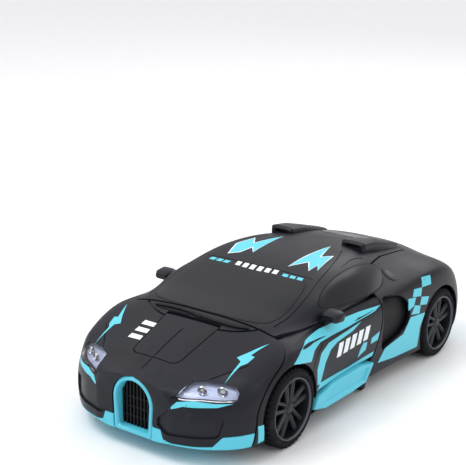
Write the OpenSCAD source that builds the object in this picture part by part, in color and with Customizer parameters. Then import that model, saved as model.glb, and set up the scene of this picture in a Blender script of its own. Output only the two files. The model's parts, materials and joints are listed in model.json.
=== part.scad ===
// Transforming robot car, about 1:18. Car form is the rest position: front towards -Y, +Z up,
// the origin on the ground under the middle. All sizes in millimetres.

/* [Overall] */
// Distance between the front and rear axles
wheelbase = 152; // [150:1:154]
// Height of the front axle's centre behind the middle of the model (negative is forward)
front_axle_y = -75; // [-76:1:-74]
// Half of the overall length
half_length = 126; // [125:1:127]
// Half of the overall width over the wheel arches
half_width = 60; // [59:1:61]
// Height of the roof
roof_height = 71; // [70:0.5:72]
// Wall thickness of the moulded body panels
wall = 1.8; // [1.6:0.1:2.2]
// Gap between neighbouring panels
seam = 0.6; // [0.5:0.1:0.8]

/* [Wheels] */
// Radius of the tyres
tyre_r = 20; // [19:0.5:20.5]
// Radius of the rim under the tyre
rim_r = 16.2; // [15.5:0.1:16.5]
// Width of a tyre
tyre_w = 18; // [16:1:18]
// Radius of the wheel shafts
axle_r = 2; // [1.8:0.1:2.2]
// Radius of the wheel arches
arch_r = 22.6; // [22:0.1:23]

/* [Mechanism] */
// Length of the leg link between its two pivots, measured along the car
link_y = 135; // [134:1:136]
// Drop of the leg link from its rear pivot to its front pivot
link_z = 6; // [5:1:7]
// Rear pivot of the leg link, distance behind the middle
leg_pivot_y = 61; // [60:1:62]
// Rear pivot of the leg link, height
leg_pivot_z = 30; // [29:1:31]
// Roof pivot above and behind the leg pivot, along the car
roof_dy = 2; // [1:1:3]
// Roof pivot above the leg pivot
roof_dz = 26; // [25.5:0.5:26.5]
// Radius of the hinge pins
pin_r = 1.6; // [1.5:0.1:1.8]
// Radial running clearance of shafts and pins in their bores
fit = 0.05; // [0.03:0.01:0.08]
// Gear module
gear_m = 1; // [1:0.1:1]

/* [Hidden] */
$fn = 48;
hull_fn = 32;

black = [0.09, 0.09, 0.10];
dark = [0.16, 0.16, 0.17];
cyan = [0.35, 0.86, 0.97];
silver = [0.72, 0.73, 0.76];
rear_axle_y = front_axle_y + wheelbase;
axle_z = tyre_r;
wheel_out = half_width - 1;
wheel_in = wheel_out - tyre_w;

// Pivots of the parallelogram, as [y, z]: legs on the rear half, chest on the legs,
// roof shell on the chest, and roof struts on the rear half.
leg_p = [leg_pivot_y, leg_pivot_z];
chest_p = [leg_pivot_y - link_y, leg_pivot_z - link_z];
roof_front_p = [chest_p[0] + roof_dy, chest_p[1] + roof_dz];
roof_rear_p = [leg_p[0] + roof_dy, leg_p[1] + roof_dz];
link_tilt = atan2(link_z, link_y);
link_len = norm([link_y, link_z]);

/* Body lines: each is a list of [y, value] that a smooth curve runs through. */
line_width = [[-126, 24], [-122.5, 35.5], [-116, 45], [-108, 52.5], [-98, 57], [-75, 60], [-50, 57.5],
    [-20, 56], [15, 56.5], [50, 58.5], [77, 60], [96, 59], [107, 55], [115, 47], [122, 36], [126, 24]];
line_bottom = [[-126, 9], [-116, 7.5], [-100, 7], [70, 7.5], [100, 10], [116, 14], [126, 17]];
line_shoulder_x = [[-126, 18], [-116, 38], [-108, 45], [-98, 51], [-75, 53], [-50, 52], [-20, 53],
    [15, 53.5], [50, 53], [77, 53], [96, 51], [107, 46], [115, 38], [126, 17]];
line_shoulder_z = [[-126, 36.5], [-116, 36], [-108, 38], [-98, 43], [-75, 50.5], [-50, 49.5], [-20, 49],
    [15, 51], [50, 55], [77, 55.5], [96, 50.5], [107, 44], [115, 38.5], [126, 34]];
line_base_x = [[-126, 12], [-116, 28], [-108, 34], [-98, 38], [-75, 43], [-50, 48], [-20, 49],
    [15, 48.5], [50, 43], [77, 38], [96, 34], [115, 25], [126, 12]];
line_base_z = [[-126, 38], [-116, 38.5], [-108, 41], [-98, 44.5], [-75, 52.5], [-50, 53], [-20, 53.5],
    [15, 55], [50, 59], [77, 58], [96, 53], [115, 44], [126, 36]];
line_rail_x = [[-126, 7], [-116, 16], [-98, 20], [-80, 28], [-68, 36.5], [-55, 40.5], [-40, 43], [-25, 41],
    [5, 38.5], [20, 36], [50, 29], [77, 24], [96, 21], [115, 15], [126, 7]];
line_rail_z = [[-126, 38.3], [-116, 40.2], [-108, 43.4], [-98, 46.8], [-80, 52.5], [-68, 56], [-55, 58.6],
    [-40, 63.3], [-25, 67.2], [-10, 69.7], [5, 70.4], [20, 69.8], [35, 68], [50, 66], [77, 61.5], [96, 56],
    [115, 47], [126, 37]];
line_top = [[-126, 38.5], [-116, 41.4], [-108, 44.6], [-98, 48.2], [-80, 53.8], [-72, 56.2], [-55, 59.8],
    [-40, 63.6], [-25, 67.4], [-10, 69.9], [5, 70.9], [20, 71], [45, 69], [63, 65.8], [77, 62.6],
    [96, 57], [108, 51.5], [116, 46.5], [126, 37.5]];

function span(t, y, i = 0) = (i >= len(t) - 2 || y < t[i + 1][0]) ? i : span(t, y, i + 1);
function rise(t, i) =
    let (a = max(i - 1, 0), b = min(i + 1, len(t) - 1))
    (t[b][1] - t[a][1]) / (t[b][0] - t[a][0]);
function curve(t, y) =
    let (q = min(max(y, t[0][0]), t[len(t) - 1][0]), i = span(t, q),
        h = t[i + 1][0] - t[i][0], u = (q - t[i][0]) / h)
    (2 * u ^ 3 - 3 * u ^ 2 + 1) * t[i][1] + (u ^ 3 - 2 * u ^ 2 + u) * rise(t, i) * h
    + (3 * u ^ 2 - 2 * u ^ 3) * t[i + 1][1] + (u ^ 3 - u ^ 2) * rise(t, i + 1) * h;

// Corner cutting turns a control polygon into a smooth line with the same ends.
function cut(p) =
    let (quarters = [for (i = [0:len(p) - 2], k = [1, 3]) (1 - k / 4) * p[i] + k / 4 * p[i + 1]])
    concat([p[0]], quarters, [p[len(p) - 1]]);

// The lines are drawn for a half length of 126, a half width of 60 and a roof at 71.
drawn_length = 126;
stretch_y = half_length / drawn_length;
stretch_x = half_width / 60;
stretch_z = roof_height / 71;
function half_section(y) =
    let (w = curve(line_width, y), b = curve(line_bottom, y), sx = curve(line_shoulder_x, y),
        sz = curve(line_shoulder_z, y), mid = (b + sz) / 2)
    [[0, b], [w - 2.5, b], [w - 0.6, b + 5], [w, mid], [(w + sx) / 2 + 1.8, sz - 5],
     [sx, sz], [curve(line_base_x, y), curve(line_base_z, y)], [curve(line_rail_x, y), curve(line_rail_z, y)],
     [curve(line_rail_x, y) / 2, curve(line_top, y)], [0, curve(line_top, y)]];
function inward(p, t) = [for (i = [0:len(p) - 1])
    let (a = p[max(i - 1, 0)], b = p[min(i + 1, len(p) - 1)], d = b - a, n = [-d[1], d[0]] / norm(d))
    (i == 0) ? p[0] + [0, t] : (i == len(p) - 1) ? p[i] - [0, t] : p[i] + t * n];
// Full section at y; the inside of a panel, which doesn't show, has a coarser outline.
function ring(y, inset) =
    let (outline = cut(half_section(y * drawn_length / (drawn_length - inset))),
        h = inward((inset > 0) ? outline : cut(outline), inset), n = len(h))
    concat([for (i = [0:n - 1]) [max(h[i][0], 0), y, h[i][1]]],
        [for (i = [n - 2:-1:1]) [-max(h[i][0], 0), y, h[i][1]]]);
nose_steps = [0, 1, 2.5, 5, 8.5, 13];
body_stations = concat([for (t = nose_steps) t - drawn_length], [for (y = [-106:8:106]) y],
    [for (i = [len(nose_steps) - 1:-1:0]) drawn_length - nose_steps[i]]);

// Solid bounded by the body surface, moved inwards by inset.
module body_solid(inset = 0) {
    rings = [for (y = body_stations) ring(y * (drawn_length - inset) / drawn_length, inset)];
    n = len(rings[0]);
    points = [for (r = rings, p = r) p];
    last = len(rings) - 1;
    sides = [for (i = [0:last - 1], j = [0:n - 1])
        [i * n + j, i * n + (j + 1) % n, (i + 1) * n + (j + 1) % n, (i + 1) * n + j]];
    ends = [[for (j = [n - 1:-1:0]) j], [for (j = [0:n - 1]) last * n + j]];
    scale([stretch_x, stretch_y, stretch_z])
        polyhedron(points, concat(sides, ends), convexity = 8);
}

// Takes a free-form boolean as one solid with flat faces.
module as_one() { resize([0, 0, 0]) children(); }
// Outline given as [y, z] points, extruded from x0 to x1.
module prism(outline, x0, x1) {
    translate([x0, 0, 0]) rotate([90, 0, 90]) linear_extrude(x1 - x0) polygon(outline);
}
// Box from its lowest to its highest corner.
module span_box(low, high) { translate(low) cube(high - low); }
// Cylinder along X between x0 and x1, centred on p = [y, z].
module rod_x(p, r, x0, x1) { translate([x0, p[0], p[1]]) rotate([0, 90, 0]) cylinder(r = r, h = x1 - x0); }
module both() { children(); mirror([1, 0, 0]) children(); }
module side(s) { if (s > 0) children(); else mirror([1, 0, 0]) children(); }
module skin(t = wall) { difference() { body_solid(0); body_solid(t); } }

/* Seams between the body panels, as [y, z] outlines. */
belt_z = 52;
door_front = [[-103.5, -5], [-101.5, 17], [-100.5, 29], [-92, 39.5], [-80, 46], [-71.5, belt_z]];
door_rear = [[13.5, belt_z], [13.5, 38], [10.5, 29], [6.5, 21.4], [-2.5, 14], [-7, -5]];
door_outline = concat(door_front, door_rear);
sill_outline = [[-57, 9.5], [-50.5, 21], [4.5, 21.4], [-3.5, 12.5], [-6, 9.5]];
rear_outline = concat([for (i = [len(door_rear) - 1:-1:0]) door_rear[i] + [seam, 0]],
    [[door_rear[0][0] + seam, 90], [130, 90], [130, -5]]);
cowl_y = roof_front_p[0];
tail_y = 77;
belt_plan = [[44.2, cowl_y + seam], [47.4, -60], [49, -50], [50, -20], [49.6, 13.5]];
roof_plan = concat(belt_plan, [[47, 15], [36, 34], [33, tail_y]]);
function mirrored(p) = concat(p, [for (i = [len(p) - 1:-1:0]) [-p[i][0], p[i][1]]]);
door_in = 46;
arch_in = wheel_in - 2.5;

module wheel_arches(y, r) { both() rod_x([y, axle_z], r, arch_in, half_width + 5); }
module door_volume(grow) { both() prism(door_outline, door_in - grow, half_width + 5); }

/* Rear half of the car, which carries the drive and becomes the feet. */
gear_teeth = 24;
pinion_teeth = 10;
lift_teeth = 32;
lift_pinion_teeth = 8;
drive_mesh = 60;
lift_mesh = -25;
function polar(p, r, a) = p + r * [cos(a), sin(a)];
rear_p = [rear_axle_y, axle_z];
motor_p = polar(rear_p, gear_m * (gear_teeth + pinion_teeth) / 2, drive_mesh);
lift_motor_p = polar(leg_p, gear_m * (lift_teeth + lift_pinion_teeth) / 2, lift_mesh);
drive_x = 27;
gear_w = 4;
floor_z = 5;
floor_t = 1.6;
battery_p = [96.7, floor_z + floor_t + 7];
battery_r = 7;
battery_len = 50;
motor_r = 8;
lift_motor_r = 5.9;
door_low = [-26, 88.5];
door_high = [26, 103];

// Involute gear in the XY plane; a tooth is centred on +X.
pressure = 20;
function inv(a) = tan(a) * 180 / PI - a;
function flank(q, rb, teeth, play) = 90 / teeth - play + inv(pressure) - ((q > rb) ? inv(acos(rb / q)) : 0);
function tooth(teeth) =
    let (r = gear_m * teeth / 2, rb = r * cos(pressure), tip = r + 0.85 * gear_m, root = r - 1.15 * gear_m,
        play = 0.06 * 180 / (PI * r) + 0.4, start = max(root, rb),
        radii = concat([root], [for (k = [0:5]) start + (tip - start) * k / 5]))
    concat([for (q = radii) [q, -flank(q, rb, teeth, play)]],
        [for (i = [len(radii) - 1:-1:0]) [radii[i], flank(radii[i], rb, teeth, play)]]);
module gear_2d(teeth) {
    polygon([for (k = [0:teeth - 1], p = tooth(teeth)) polar([0, 0], p[0], p[1] + k * 360 / teeth)]);
}
// Gear round an axis along X, with a tooth towards the angle given in the YZ plane.
module gear_x(p, teeth, x0, w, a, bore) {
    translate([x0, p[0], p[1]]) rotate([90, 0, 90]) linear_extrude(w) difference() {
        rotate(a) gear_2d(teeth);
        circle(bore);
    }
}

module rear_chassis() color(dark) {
    wall_t = 3;
    difference() {
        union() {
            span_box([-37, 16, floor_z], [37, 104.4, floor_z + floor_t]);
            both() {
                span_box([34, 55, floor_z + floor_t], [37, 104, 40]);
                span_box([23, 68, floor_z + floor_t], [25.5, 80, 40]);
                span_box([23, 80, floor_z + floor_t], [25.5, 89, 43.4]);
                span_box([27, 102, floor_z + floor_t], [34, 104, 40]);
                span_box([34, 58, 40], [37, 68, 57]);
                rod_x(roof_rear_p, 2.5, 29, 36.5);
                rod_x(leg_p, 4, 26, 34);
                span_box([20.4, 82, 42.8], [23, 89, 43.4]);
            }
        }
        both() {
            rod_x(leg_p, pin_r + fit, -1, 40);
            rod_x(rear_p, axle_r + fit, 20, 40);
            rod_x(motor_p, gear_m * pinion_teeth / 2 + 1.5, 22, 26);
            rod_x(roof_rear_p, pin_r + fit, 28, 36);
        }
        span_box([door_low[0], door_low[1], 0], [door_high[0], door_high[1], 8]);
        span_box([7, 71.8, 0], [17, 76.2, 8]);
    }
}
module rear_shell() color(black) as_one() difference() {
    intersection() {
        skin();
        prism(rear_outline, -70, 70);
    }
    translate([0, 0, 40]) linear_extrude(50) offset(seam) polygon(mirrored(roof_plan));
    wheel_arches(rear_axle_y, arch_r);
    span_box([-38, -20, -5], [38, 109, 32]);
    span_box([-70, 104, -5], [70, 130, 22]);
    both() lamp_bores(5.2);
}
module lamp_bores(r) {
    for (x = [22, 34]) translate([x, 100, 37 - x / 8]) rotate([-90, 0, 0]) cylinder(r = r, h = 30);
}
module rear_trim() color(cyan) as_one() intersection() {
    skin();
    union() {
        span_box([-70, 104 + seam, -5], [70, 130, 22 - seam]);
        span_box([-35, 104, -5], [35, 106, 20]);
    }
}
module tail_lamps() color([0.75, 0.05, 0.06]) as_one() intersection() {
    difference() {
        body_solid(0.4);
        body_solid(3);
    }
    both() lamp_bores(5.15);
}
module support_feet() color(dark) both() {
    prism([[2, 5], [6, 0.4], [12, 0.4], [16, 5], [16, 6.6], [2, 6.6]], 37, 41);
    span_box([37, 16, 5], [41, 48, 6.6]);
}
module gear_motors() color(silver) {
    both() {
        rod_x(motor_p, motor_r, 1.5, 23);
        rod_x(motor_p, 3, 23, 24.5);
        rod_x(motor_p, 1, 24.5, 30.5);
    }
    rod_x(lift_motor_p, lift_motor_r, 4.2, 18);
    rod_x(lift_motor_p, 1, -2.6, 4.2);
}
module battery_cell() color([0.2, 0.45, 0.3]) {
    rod_x(battery_p, battery_r, -battery_len / 2 + 0.5, battery_len / 2 - 1.5);
    rod_x(battery_p, 2.4, battery_len / 2 - 1.5, battery_len / 2);
}
screw_y = 100;
module battery_door() color(dark) difference() {
    span_box(concat(door_low + [0.3, 0], floor_z), concat(door_high - [0.3, 0.3], floor_z + floor_t));
    translate([0, screw_y, floor_z - 1]) cylinder(r = 1.1, h = 4);
}
module battery_door_screw() color(silver) difference() {
    union() {
        translate([0, screw_y, floor_z - 1.2]) cylinder(r = 2, h = 1.2);
        translate([0, screw_y, floor_z]) cylinder(r = 1.1, h = 2);
    }
    span_box([-1.6, screw_y - 0.3, floor_z - 2], [1.6, screw_y + 0.3, floor_z - 0.6]);
    span_box([-0.3, screw_y - 1.6, floor_z - 2], [0.3, screw_y + 1.6, floor_z - 0.6]);
}
module circuit_board() color([0.1, 0.45, 0.2]) {
    board_z = 43.4;
    board_t = 1.2;
    span_box([-24, 82, board_z], [24, 103, board_z + board_t]);
    for (chip = [[-12, 86, 9, 7], [4, 86, 6, 6], [-4, 95, 12, 5], [12, 94, 4, 7]])
        translate([chip[0], chip[1], board_z + board_t]) cube([chip[2], chip[3], 1.6]);
}
module leg_pivot_pin() color(silver) rod_x(leg_p, pin_r, -37, 37);
module power_switch() color([0.8, 0.1, 0.1]) {
    span_box([8, 72, floor_z - 0.6], [13, 76, floor_z + floor_t + 1]);
    span_box([7.2, 71, floor_z + floor_t + 0.3], [13.8, 77, floor_z + floor_t + 1.8]);
}
module pinion(s) color(silver) side(s)
    gear_x(motor_p, pinion_teeth, drive_x - 0.5, gear_w, drive_mesh + 180 + 180 / pinion_teeth, 1);
module lift_pinion() color(silver)
    gear_x(lift_motor_p, lift_pinion_teeth, -2.5, 5, lift_mesh + 180 + 180 / lift_pinion_teeth, 1.05);

/* Wheels. A wheel is drawn for the left side (+X) with its axle on p = [y, z]. */
module tyre(p) color(black) translate([wheel_in, p[0], p[1]]) rotate([0, 90, 0])
    rotate_extrude($fn = 72) polygon([[rim_r, 0.6], [rim_r + 1, 0], [tyre_r - 1.4, 0.3], [tyre_r, 1.8],
        [tyre_r, tyre_w - 1.8], [tyre_r - 1.4, tyre_w - 0.3], [rim_r + 1, tyre_w], [rim_r, tyre_w - 0.6]]);
module spoke_pair_2d() {
    both_y() polygon([[2.6, 0.6], [rim_r - 0.8, 2.4], [rim_r - 0.8, 3.8], [3.6, 2.2]]);
}
module both_y() { children(); mirror([0, 1, 0]) children(); }
rim_t = 1.4;
module rim(p) color([0.2, 0.2, 0.21]) translate([wheel_in, p[0], p[1]]) rotate([0, 90, 0]) {
    difference() {
        union() {
            rotate_extrude($fn = 72) translate([rim_r - rim_t, 1]) square([rim_t, tyre_w - 1.4]);
            translate([0, 0, tyre_w - 4]) linear_extrude(2.2)
                for (k = [1:5]) rotate(k * 72 + 36) spoke_pair_2d();
            translate([0, 0, tyre_w - 8]) cylinder(r = 4, h = 6.6);
        }
        translate([0, 0, tyre_w - 9]) cylinder(r = axle_r, h = 6.4);
    }
}
module rear_axle(s) color(silver) side(s) {
    rod_x(rear_p, axle_r, 20.5, wheel_out - 2.8);
    gear_x(rear_p, gear_teeth, drive_x, gear_w, drive_mesh, axle_r);
}
front_p = [front_axle_y, axle_z];
module front_axle(s) color(dark) side(s) {
    rod_x(front_p, axle_r, 32, wheel_out - 2.8);
    gear_ribs = 14;
    translate([31.5, front_p[0], front_p[1]]) rotate([0, 90, 0]) linear_extrude(5.5) difference() {
        union() {
            circle(5.6);
            for (k = [1:gear_ribs])
                rotate(k * 360 / gear_ribs) translate([5, 0]) square([2.4, 1.2], center = true);
        }
        circle(axle_r);
    }
}

/* Legs and torso, drawn upright: pivot on the rear half at the origin, +Z towards the chest. */
module leg_place() { translate([0, leg_p[0], leg_p[1]]) rotate([90 + link_tilt, 0, 0]) children(); }
knee_z = 49;
torso_z = 84;
module leg_frame() color(dark) leg_place() difference() {
    union() {
        both() {
            rod_x([0, 0], 6, 6, 25);
            span_box([7, -6, 0], [21, 6, 50]);
            span_box([8, -9, 44], [22, 8, 72]);
        }
        span_box([-20, -8, 68], [20, 9, 84]);
        span_box([-17, -7, 84], [17, 10, 117]);
        span_box([-17.5, -5.5, 117], [17.5, 5.5, link_len]);
        rod_x([0, link_len], 5.5, -17.5, 17.5);
        span_box([-7, -3, 20], [7, 5, 26]);
        span_box([-6, -4, 6], [6, 4, 26]);
    }
    rod_x([0, 0], pin_r + fit, -30, 30);
    rod_x([0, link_len], pin_r, -30, 30);
    span_box([-3.2, -20, -20], [3.2, 20, 19]);
}
rib_z = [86, 96, 106];
module rib_armour() color(cyan) leg_place() both() for (z = rib_z) {
    hull() {
        span_box([5, -15, z + 2], [7, -7, z + 8]);
        span_box([17, -9, z + 4], [25, -7, z + 9]);
    }
    hull() {
        span_box([17, -7, z + 1], [20, 8, z + 7.5]);
        span_box([20, -7, z + 4], [25, 2, z + 9]);
    }
}
module spine_cover() color(silver) leg_place() difference() {
    hull() {
        span_box([-4.5, -16, 84], [4.5, -7, 114]);
        span_box([-3, -17.5, 88], [3, -7, 110]);
    }
    for (z = [90:6:108]) span_box([-2.6, -20, z], [2.6, -16.6, z + 2.4]);
}
module pelvis_cover() color(silver) leg_place() {
    prism([[-9.2, 72.2], [-15, 73], [-17, 78], [-14, 82.6], [-8, 83.6], [-8, 72.2]], -9, 9);
    both() span_box([9, -12, 76], [14, -8, 83]);
}
module octagon(r) { circle(r, $fn = 8); }
module thigh_armour() color(silver) leg_place() both() translate([15, -9, 63]) rotate([90, 0, 0])
difference() {
    linear_extrude(5) polygon([[-6, -9], [6, -9], [9, -2], [8, 10], [-2, 12], [-8, 4]]);
    translate([0, 0, 3.4]) linear_extrude(4) octagon(4.4);
}
module knee_discs() color(dark) leg_place() both() {
    rod_x([-7.5, knee_z], 4.8, 22, 25);
    translate([15, -9, knee_z]) rotate([90, 0, 0]) cylinder(r = 4.6, h = 3.6);
}
module shin_covers() color(silver) leg_place() both() difference() {
    prism([[-6, 10], [-9, 12], [-12, 22], [-13, 40], [-6, 43]], 10, 19);
    span_box([12.5, -20, 16], [16.5, -11, 34]);
}
module shin_sides() color(cyan) leg_place() both() {
    prism([[-6, 8], [-9, 12], [-10.5, 24], [-11, 40], [-3, 43], [-3, 12]], 22, 25);
    span_box([21, -6, 14], [22, -1, 40]);
    prism([[-6, 14], [-9, 18], [-10, 36], [-6, 40]], 19, 22);
    span_box([5, -9, 14], [10, -6, 38]);
}
module lift_gear() color(silver) leg_place() difference() {
    union() {
        intersection() {
            gear_x([0, 0], lift_teeth, -3, 6, lift_mesh - 90 - link_tilt, pin_r + fit);
            prism([[0, 0], [40, 26], [40, -40], [-30, -40], [-10, 0]], -4, 4);
        }
        difference() {
            rod_x([0, 0], 8, -3, 3);
            rod_x([0, 0], pin_r + fit, -5, 5);
        }
        difference() {
            span_box([-3, -4, 4], [3, 4, 19]);
            rod_x([0, 0], 7, -5, 5);
        }
    }
}
module chest_pivot_pin() color(silver) leg_place() rod_x([0, link_len], pin_r, -24, 24);

/* Front of the car, which becomes the chest. */
hatch_pivot = [-79.3, 52.3];
hatch_pin_r = 0.5;
hatch_x = 16.8;
hatch_plan = [[hatch_x, hatch_pivot[0] - 0.3], [14.6, -105.5], [13.8, -108.6], [11, -110.2]];
module hatch_volume(grow) {
    translate([0, 0, 36]) linear_extrude(30) offset(delta = grow) polygon(mirrored(hatch_plan));
}
// Outline seen from the front, extruded from y0 to y1.
module front_prism(y0, y1) { translate([0, y1, 0]) rotate([90, 0, 0]) linear_extrude(y1 - y0) children(); }
// Upper edge of the front lip, as [x, z] from the middle outwards
lip_edge = [[0, 16.5], [17.5, 16.5], [19, 12], [24, 11], [42, 11.5], [46, 16.5], [62, 17]];
module lip_volume(rise) {
    edge = [for (p = lip_edge) p + [0, rise]];
    both() front_prism(-140, -90) polygon(concat(edge, [[62, -5], [0, -5]]));
}
nose_plate_y = -119;
grille_w = 12.8;
grille_low = 8.5;
grille_high = 38.5;
// Arch outline of the grille, r half as wide
module grille_2d(r) {
    foot = r - 0.8;
    hull() {
        translate([0, grille_high - grille_w]) circle(r);
        translate([-foot, grille_low + grille_w - r]) square([2 * foot, 3]);
    }
}
module grille_volume(r, y0, y1) { front_prism(y0, y1) grille_2d(r); }
light_2d = [[24, 33], [29, 31], [46, 31.6], [49.6, 37], [44, 40.4], [33, 38]];
module light_volume(grow, y0 = -130, y1 = -92) {
    both() front_prism(y0, y1) offset(delta = grow) polygon(light_2d);
}
module front_zone() { span_box([-70, -130, -5], [70, cowl_y - seam, 80]); }
module hood_shell() color(black) as_one() difference() {
    intersection() {
        skin();
        front_zone();
    }
    door_volume(seam);
    hatch_volume(0.4);
    span_box([-hatch_x - 0.2, hatch_pivot[0] - 1, 40], [hatch_x + 0.2, hatch_pivot[0] + 1.9, 60]);
    rod_x(hatch_pivot, hatch_pin_r + 2 * fit, -hatch_x - 2.6, hatch_x + 2.6);
    lip_volume(0);
    grille_volume(grille_w + 0.2, -130, -112);
    light_volume(0.2);
    wheel_arches(front_axle_y, arch_r + 1.5);
    span_box([-44, -101, -5], [44, -60, 40]);
}
module front_lip() color(cyan) as_one() difference() {
    intersection() {
        skin();
        lip_volume(-seam / 2);
    }
    door_volume(seam);
    grille_volume(grille_w + 0.2, -130, -112);
    span_box([-70, -101, -5], [70, 0, 40]);
}
module grille_ring() color(cyan) difference() {
    grille_volume(grille_w, -half_length, nose_plate_y);
    grille_volume(grille_w - 2.6, -130, -110);
}
module grille_panel() color(dark) {
    difference() {
        grille_volume(grille_w - 2.6, -122, nose_plate_y);
        for (x = [-8:4:8]) span_box([x - 0.9, -123, 11], [x + 0.9, -121, 36]);
    }
}
module headlight_lenses() color([0.75, 0.75, 0.85]) as_one() intersection() {
    difference() {
        body_solid(0);
        body_solid(1);
    }
    light_volume(0.15);
}
module headlight_reflectors() color(silver) as_one() difference() {
    intersection() {
        difference() {
            body_solid(wall);
            body_solid(4.4);
        }
        light_volume(0.9);
    }
    difference() {
        light_volume(0.1);
        body_solid(3.2);
    }
}
// Back of each lamp as [x, y, z], and its length
led_p = [[[30, -111, 33.6], 4], [[41, -104.5, 35.6], 3.5]];
module led_lamps() color("white") both() for (led = led_p)
    translate(led[0]) rotate([90, 0, 0]) cylinder(r = 1.5, h = led[1]);
beam_z = [15, 22];
beam_y = [[-98, -91], [-90, -83]];
slack = 0.3;
module beam_slot(k) {
    span_box([-40, beam_y[k][0] - slack, beam_z[0] - slack], [40, beam_y[k][1] + slack, beam_z[1] + slack]);
}
module chest_frame() color(dark) difference() {
    union() {
        span_box([-31, -99.8, 13], [31, -81.2, 24]);
        both() {
            hull() {
                rod_x(chest_p, 5.5, 19, 24);
                span_box([19, -82, 14], [24, -81.2, 23]);
            }
            span_box([27, -99.8, 24], [31, -81.2, 44]);
            hull() {
                rod_x(roof_front_p, 3, 29.2, 32);
                span_box([29.2, -86, 38], [32, -84, 44]);
            }
            span_box([15, -84, 40], [29.5, -81.2, 43]);
            span_box([24, -117, 20], [27, -99.8, 24]);
        }
        span_box([-27, nose_plate_y, 19], [27, nose_plate_y + 2, 26]);
    }
    beam_slot(0);
    beam_slot(1);
    rod_x(chest_p, pin_r + fit, -30, 30);
    rod_x(roof_front_p, pin_r + fit, -34, 34);
}

/* Hatch in the hood: its underside carries the head, drawn as it lies under the closed hatch. */
hatch_open = 108;
module hatch_panel() color(black) {
    as_one() intersection() {
        skin(1.6);
        hatch_volume(-0.1);
    }
    rod_x(hatch_pivot, 1, 0.1 - hatch_x, hatch_x - 0.1);
    rod_x(hatch_pivot, hatch_pin_r, -hatch_x - 2, hatch_x + 2);
}
// Head frame: origin at the hatch pivot, drawn upright, the hatch behind it at +Y.
module head_place() { translate([0, hatch_pivot[0], hatch_pivot[1]]) rotate([hatch_open, 0, 0]) children(); }
module head_helmet() color(black) head_place() {
    difference() {
        hull() {
            span_box([-8, -12, 4], [8, -4, 18]);
            span_box([-6, -11, 19], [6, -4, 22]);
        }
        span_box([-5.6, -20, 3], [5.6, -9.5, 16]);
    }
    both() span_box([8, -11, 7], [10, -6, 17]);
    prism([[-13, 16], [-12, 20], [-5, 24], [-4.5, 20]], -1.2, 1.2);
    span_box([-4, -5, 6], [4, 0.4, 16]);
}
module head_face() color(silver) head_place() difference() {
    hull() {
        span_box([-5, -12.5, 7], [5, -9.5, 15.4]);
        span_box([-3, -12.5, 4], [3, -9.5, 6]);
    }
    both() span_box([1.2, -14, 11.4], [4.4, -11.6, 13.4]);
}
module head_eyes() color([0.2, 0.6, 1]) head_place() both() span_box([1.3, -12.4, 11.5], [4.3, -11.6, 13.3]);

/* Arms: door, wheel housing and front wheel slide out on a beam and swivel on its end. */
swivel = [36.2, -90.5];
clevis_y = [-95, -86];
module arm_beam(s) color(dark) side(s) {
    k = (s > 0) ? 0 : 1;
    clevis_t = 3.4;
    span_box([-30.5, beam_y[k][0], beam_z[0]], [31.4, beam_y[k][1], beam_z[1]]);
    span_box([31.4, -98, 10], [32.9, -83, 27]);
    for (z = [10, 27 - clevis_t]) {
        span_box([32.9, clevis_y[0], z], [swivel[0], clevis_y[1], z + clevis_t]);
        translate([swivel[0], swivel[1], z]) cylinder(r = 2.1, h = clevis_t);
    }
    translate([swivel[0], swivel[1], 10 + clevis_t]) cylinder(r = pin_r, h = 17 - 2 * clevis_t);
}
module wheel_housing(s) color(dark) side(s) difference() {
    union() {
        rod_x(front_p, arch_r + 1.6, wheel_in - 2.5, 54);
        hull() {
            translate([swivel[0], swivel[1], 13.8]) cylinder(r = 2.9, h = 9.4, $fn = hull_fn);
            span_box([38.4, -94, 13.8], [38.6, -87, 23.2]);
        }
        prism([[-60, 32], [-58, 40], [-48, 40], [-44, 30], [-52, 24]], wheel_in - 2.5, 50.5);
    }
    rod_x(front_p, arch_r, wheel_in - 1, 60);
    rod_x(front_p, axle_r + fit, 30, 60);
    translate([swivel[0], swivel[1], 0]) cylinder(r = pin_r + fit, h = 40);
    span_box([0, -120, -10], [60, 0, 8.5]);
    span_box([50.8, -60, 0], [60, -45, 21.8]);
}
door_plan = concat([[70, -120], [door_in, -120], [door_in, -80]], belt_plan, [[49.6, 40], [70, 40]]);
module door_shell(s) color(black) side(s) as_one() difference() {
    union() {
        intersection() {
            skin();
            prism(door_outline, door_in, 70);
            linear_extrude(60) polygon(door_plan);
        }
        prism([[-56, 36], [-48, 30], [-20, 30], [0, 34], [6, 44], [-50, 46]], 50, 54.6);
        mirror_pod();
    }
    wheel_arches(front_axle_y, arch_r);
    prism(sill_outline, 51, 70);
}
module mirror_pod() {
    hull() {
        translate([55, -34, 54.6]) scale([4, 4.4, 2.8]) sphere(1, $fn = hull_fn);
        translate([52.5, -35, 50]) scale([2, 3, 1.5]) sphere(1, $fn = hull_fn);
    }
}
module door_sill(s) color(cyan) side(s) difference() {
    prism(sill_outline, 51.2, 58.8);
    prism([[-44, 12.5], [-40, 17.5], [-4, 18], [-8, 12.5]], 57.4, 60);
}

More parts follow.
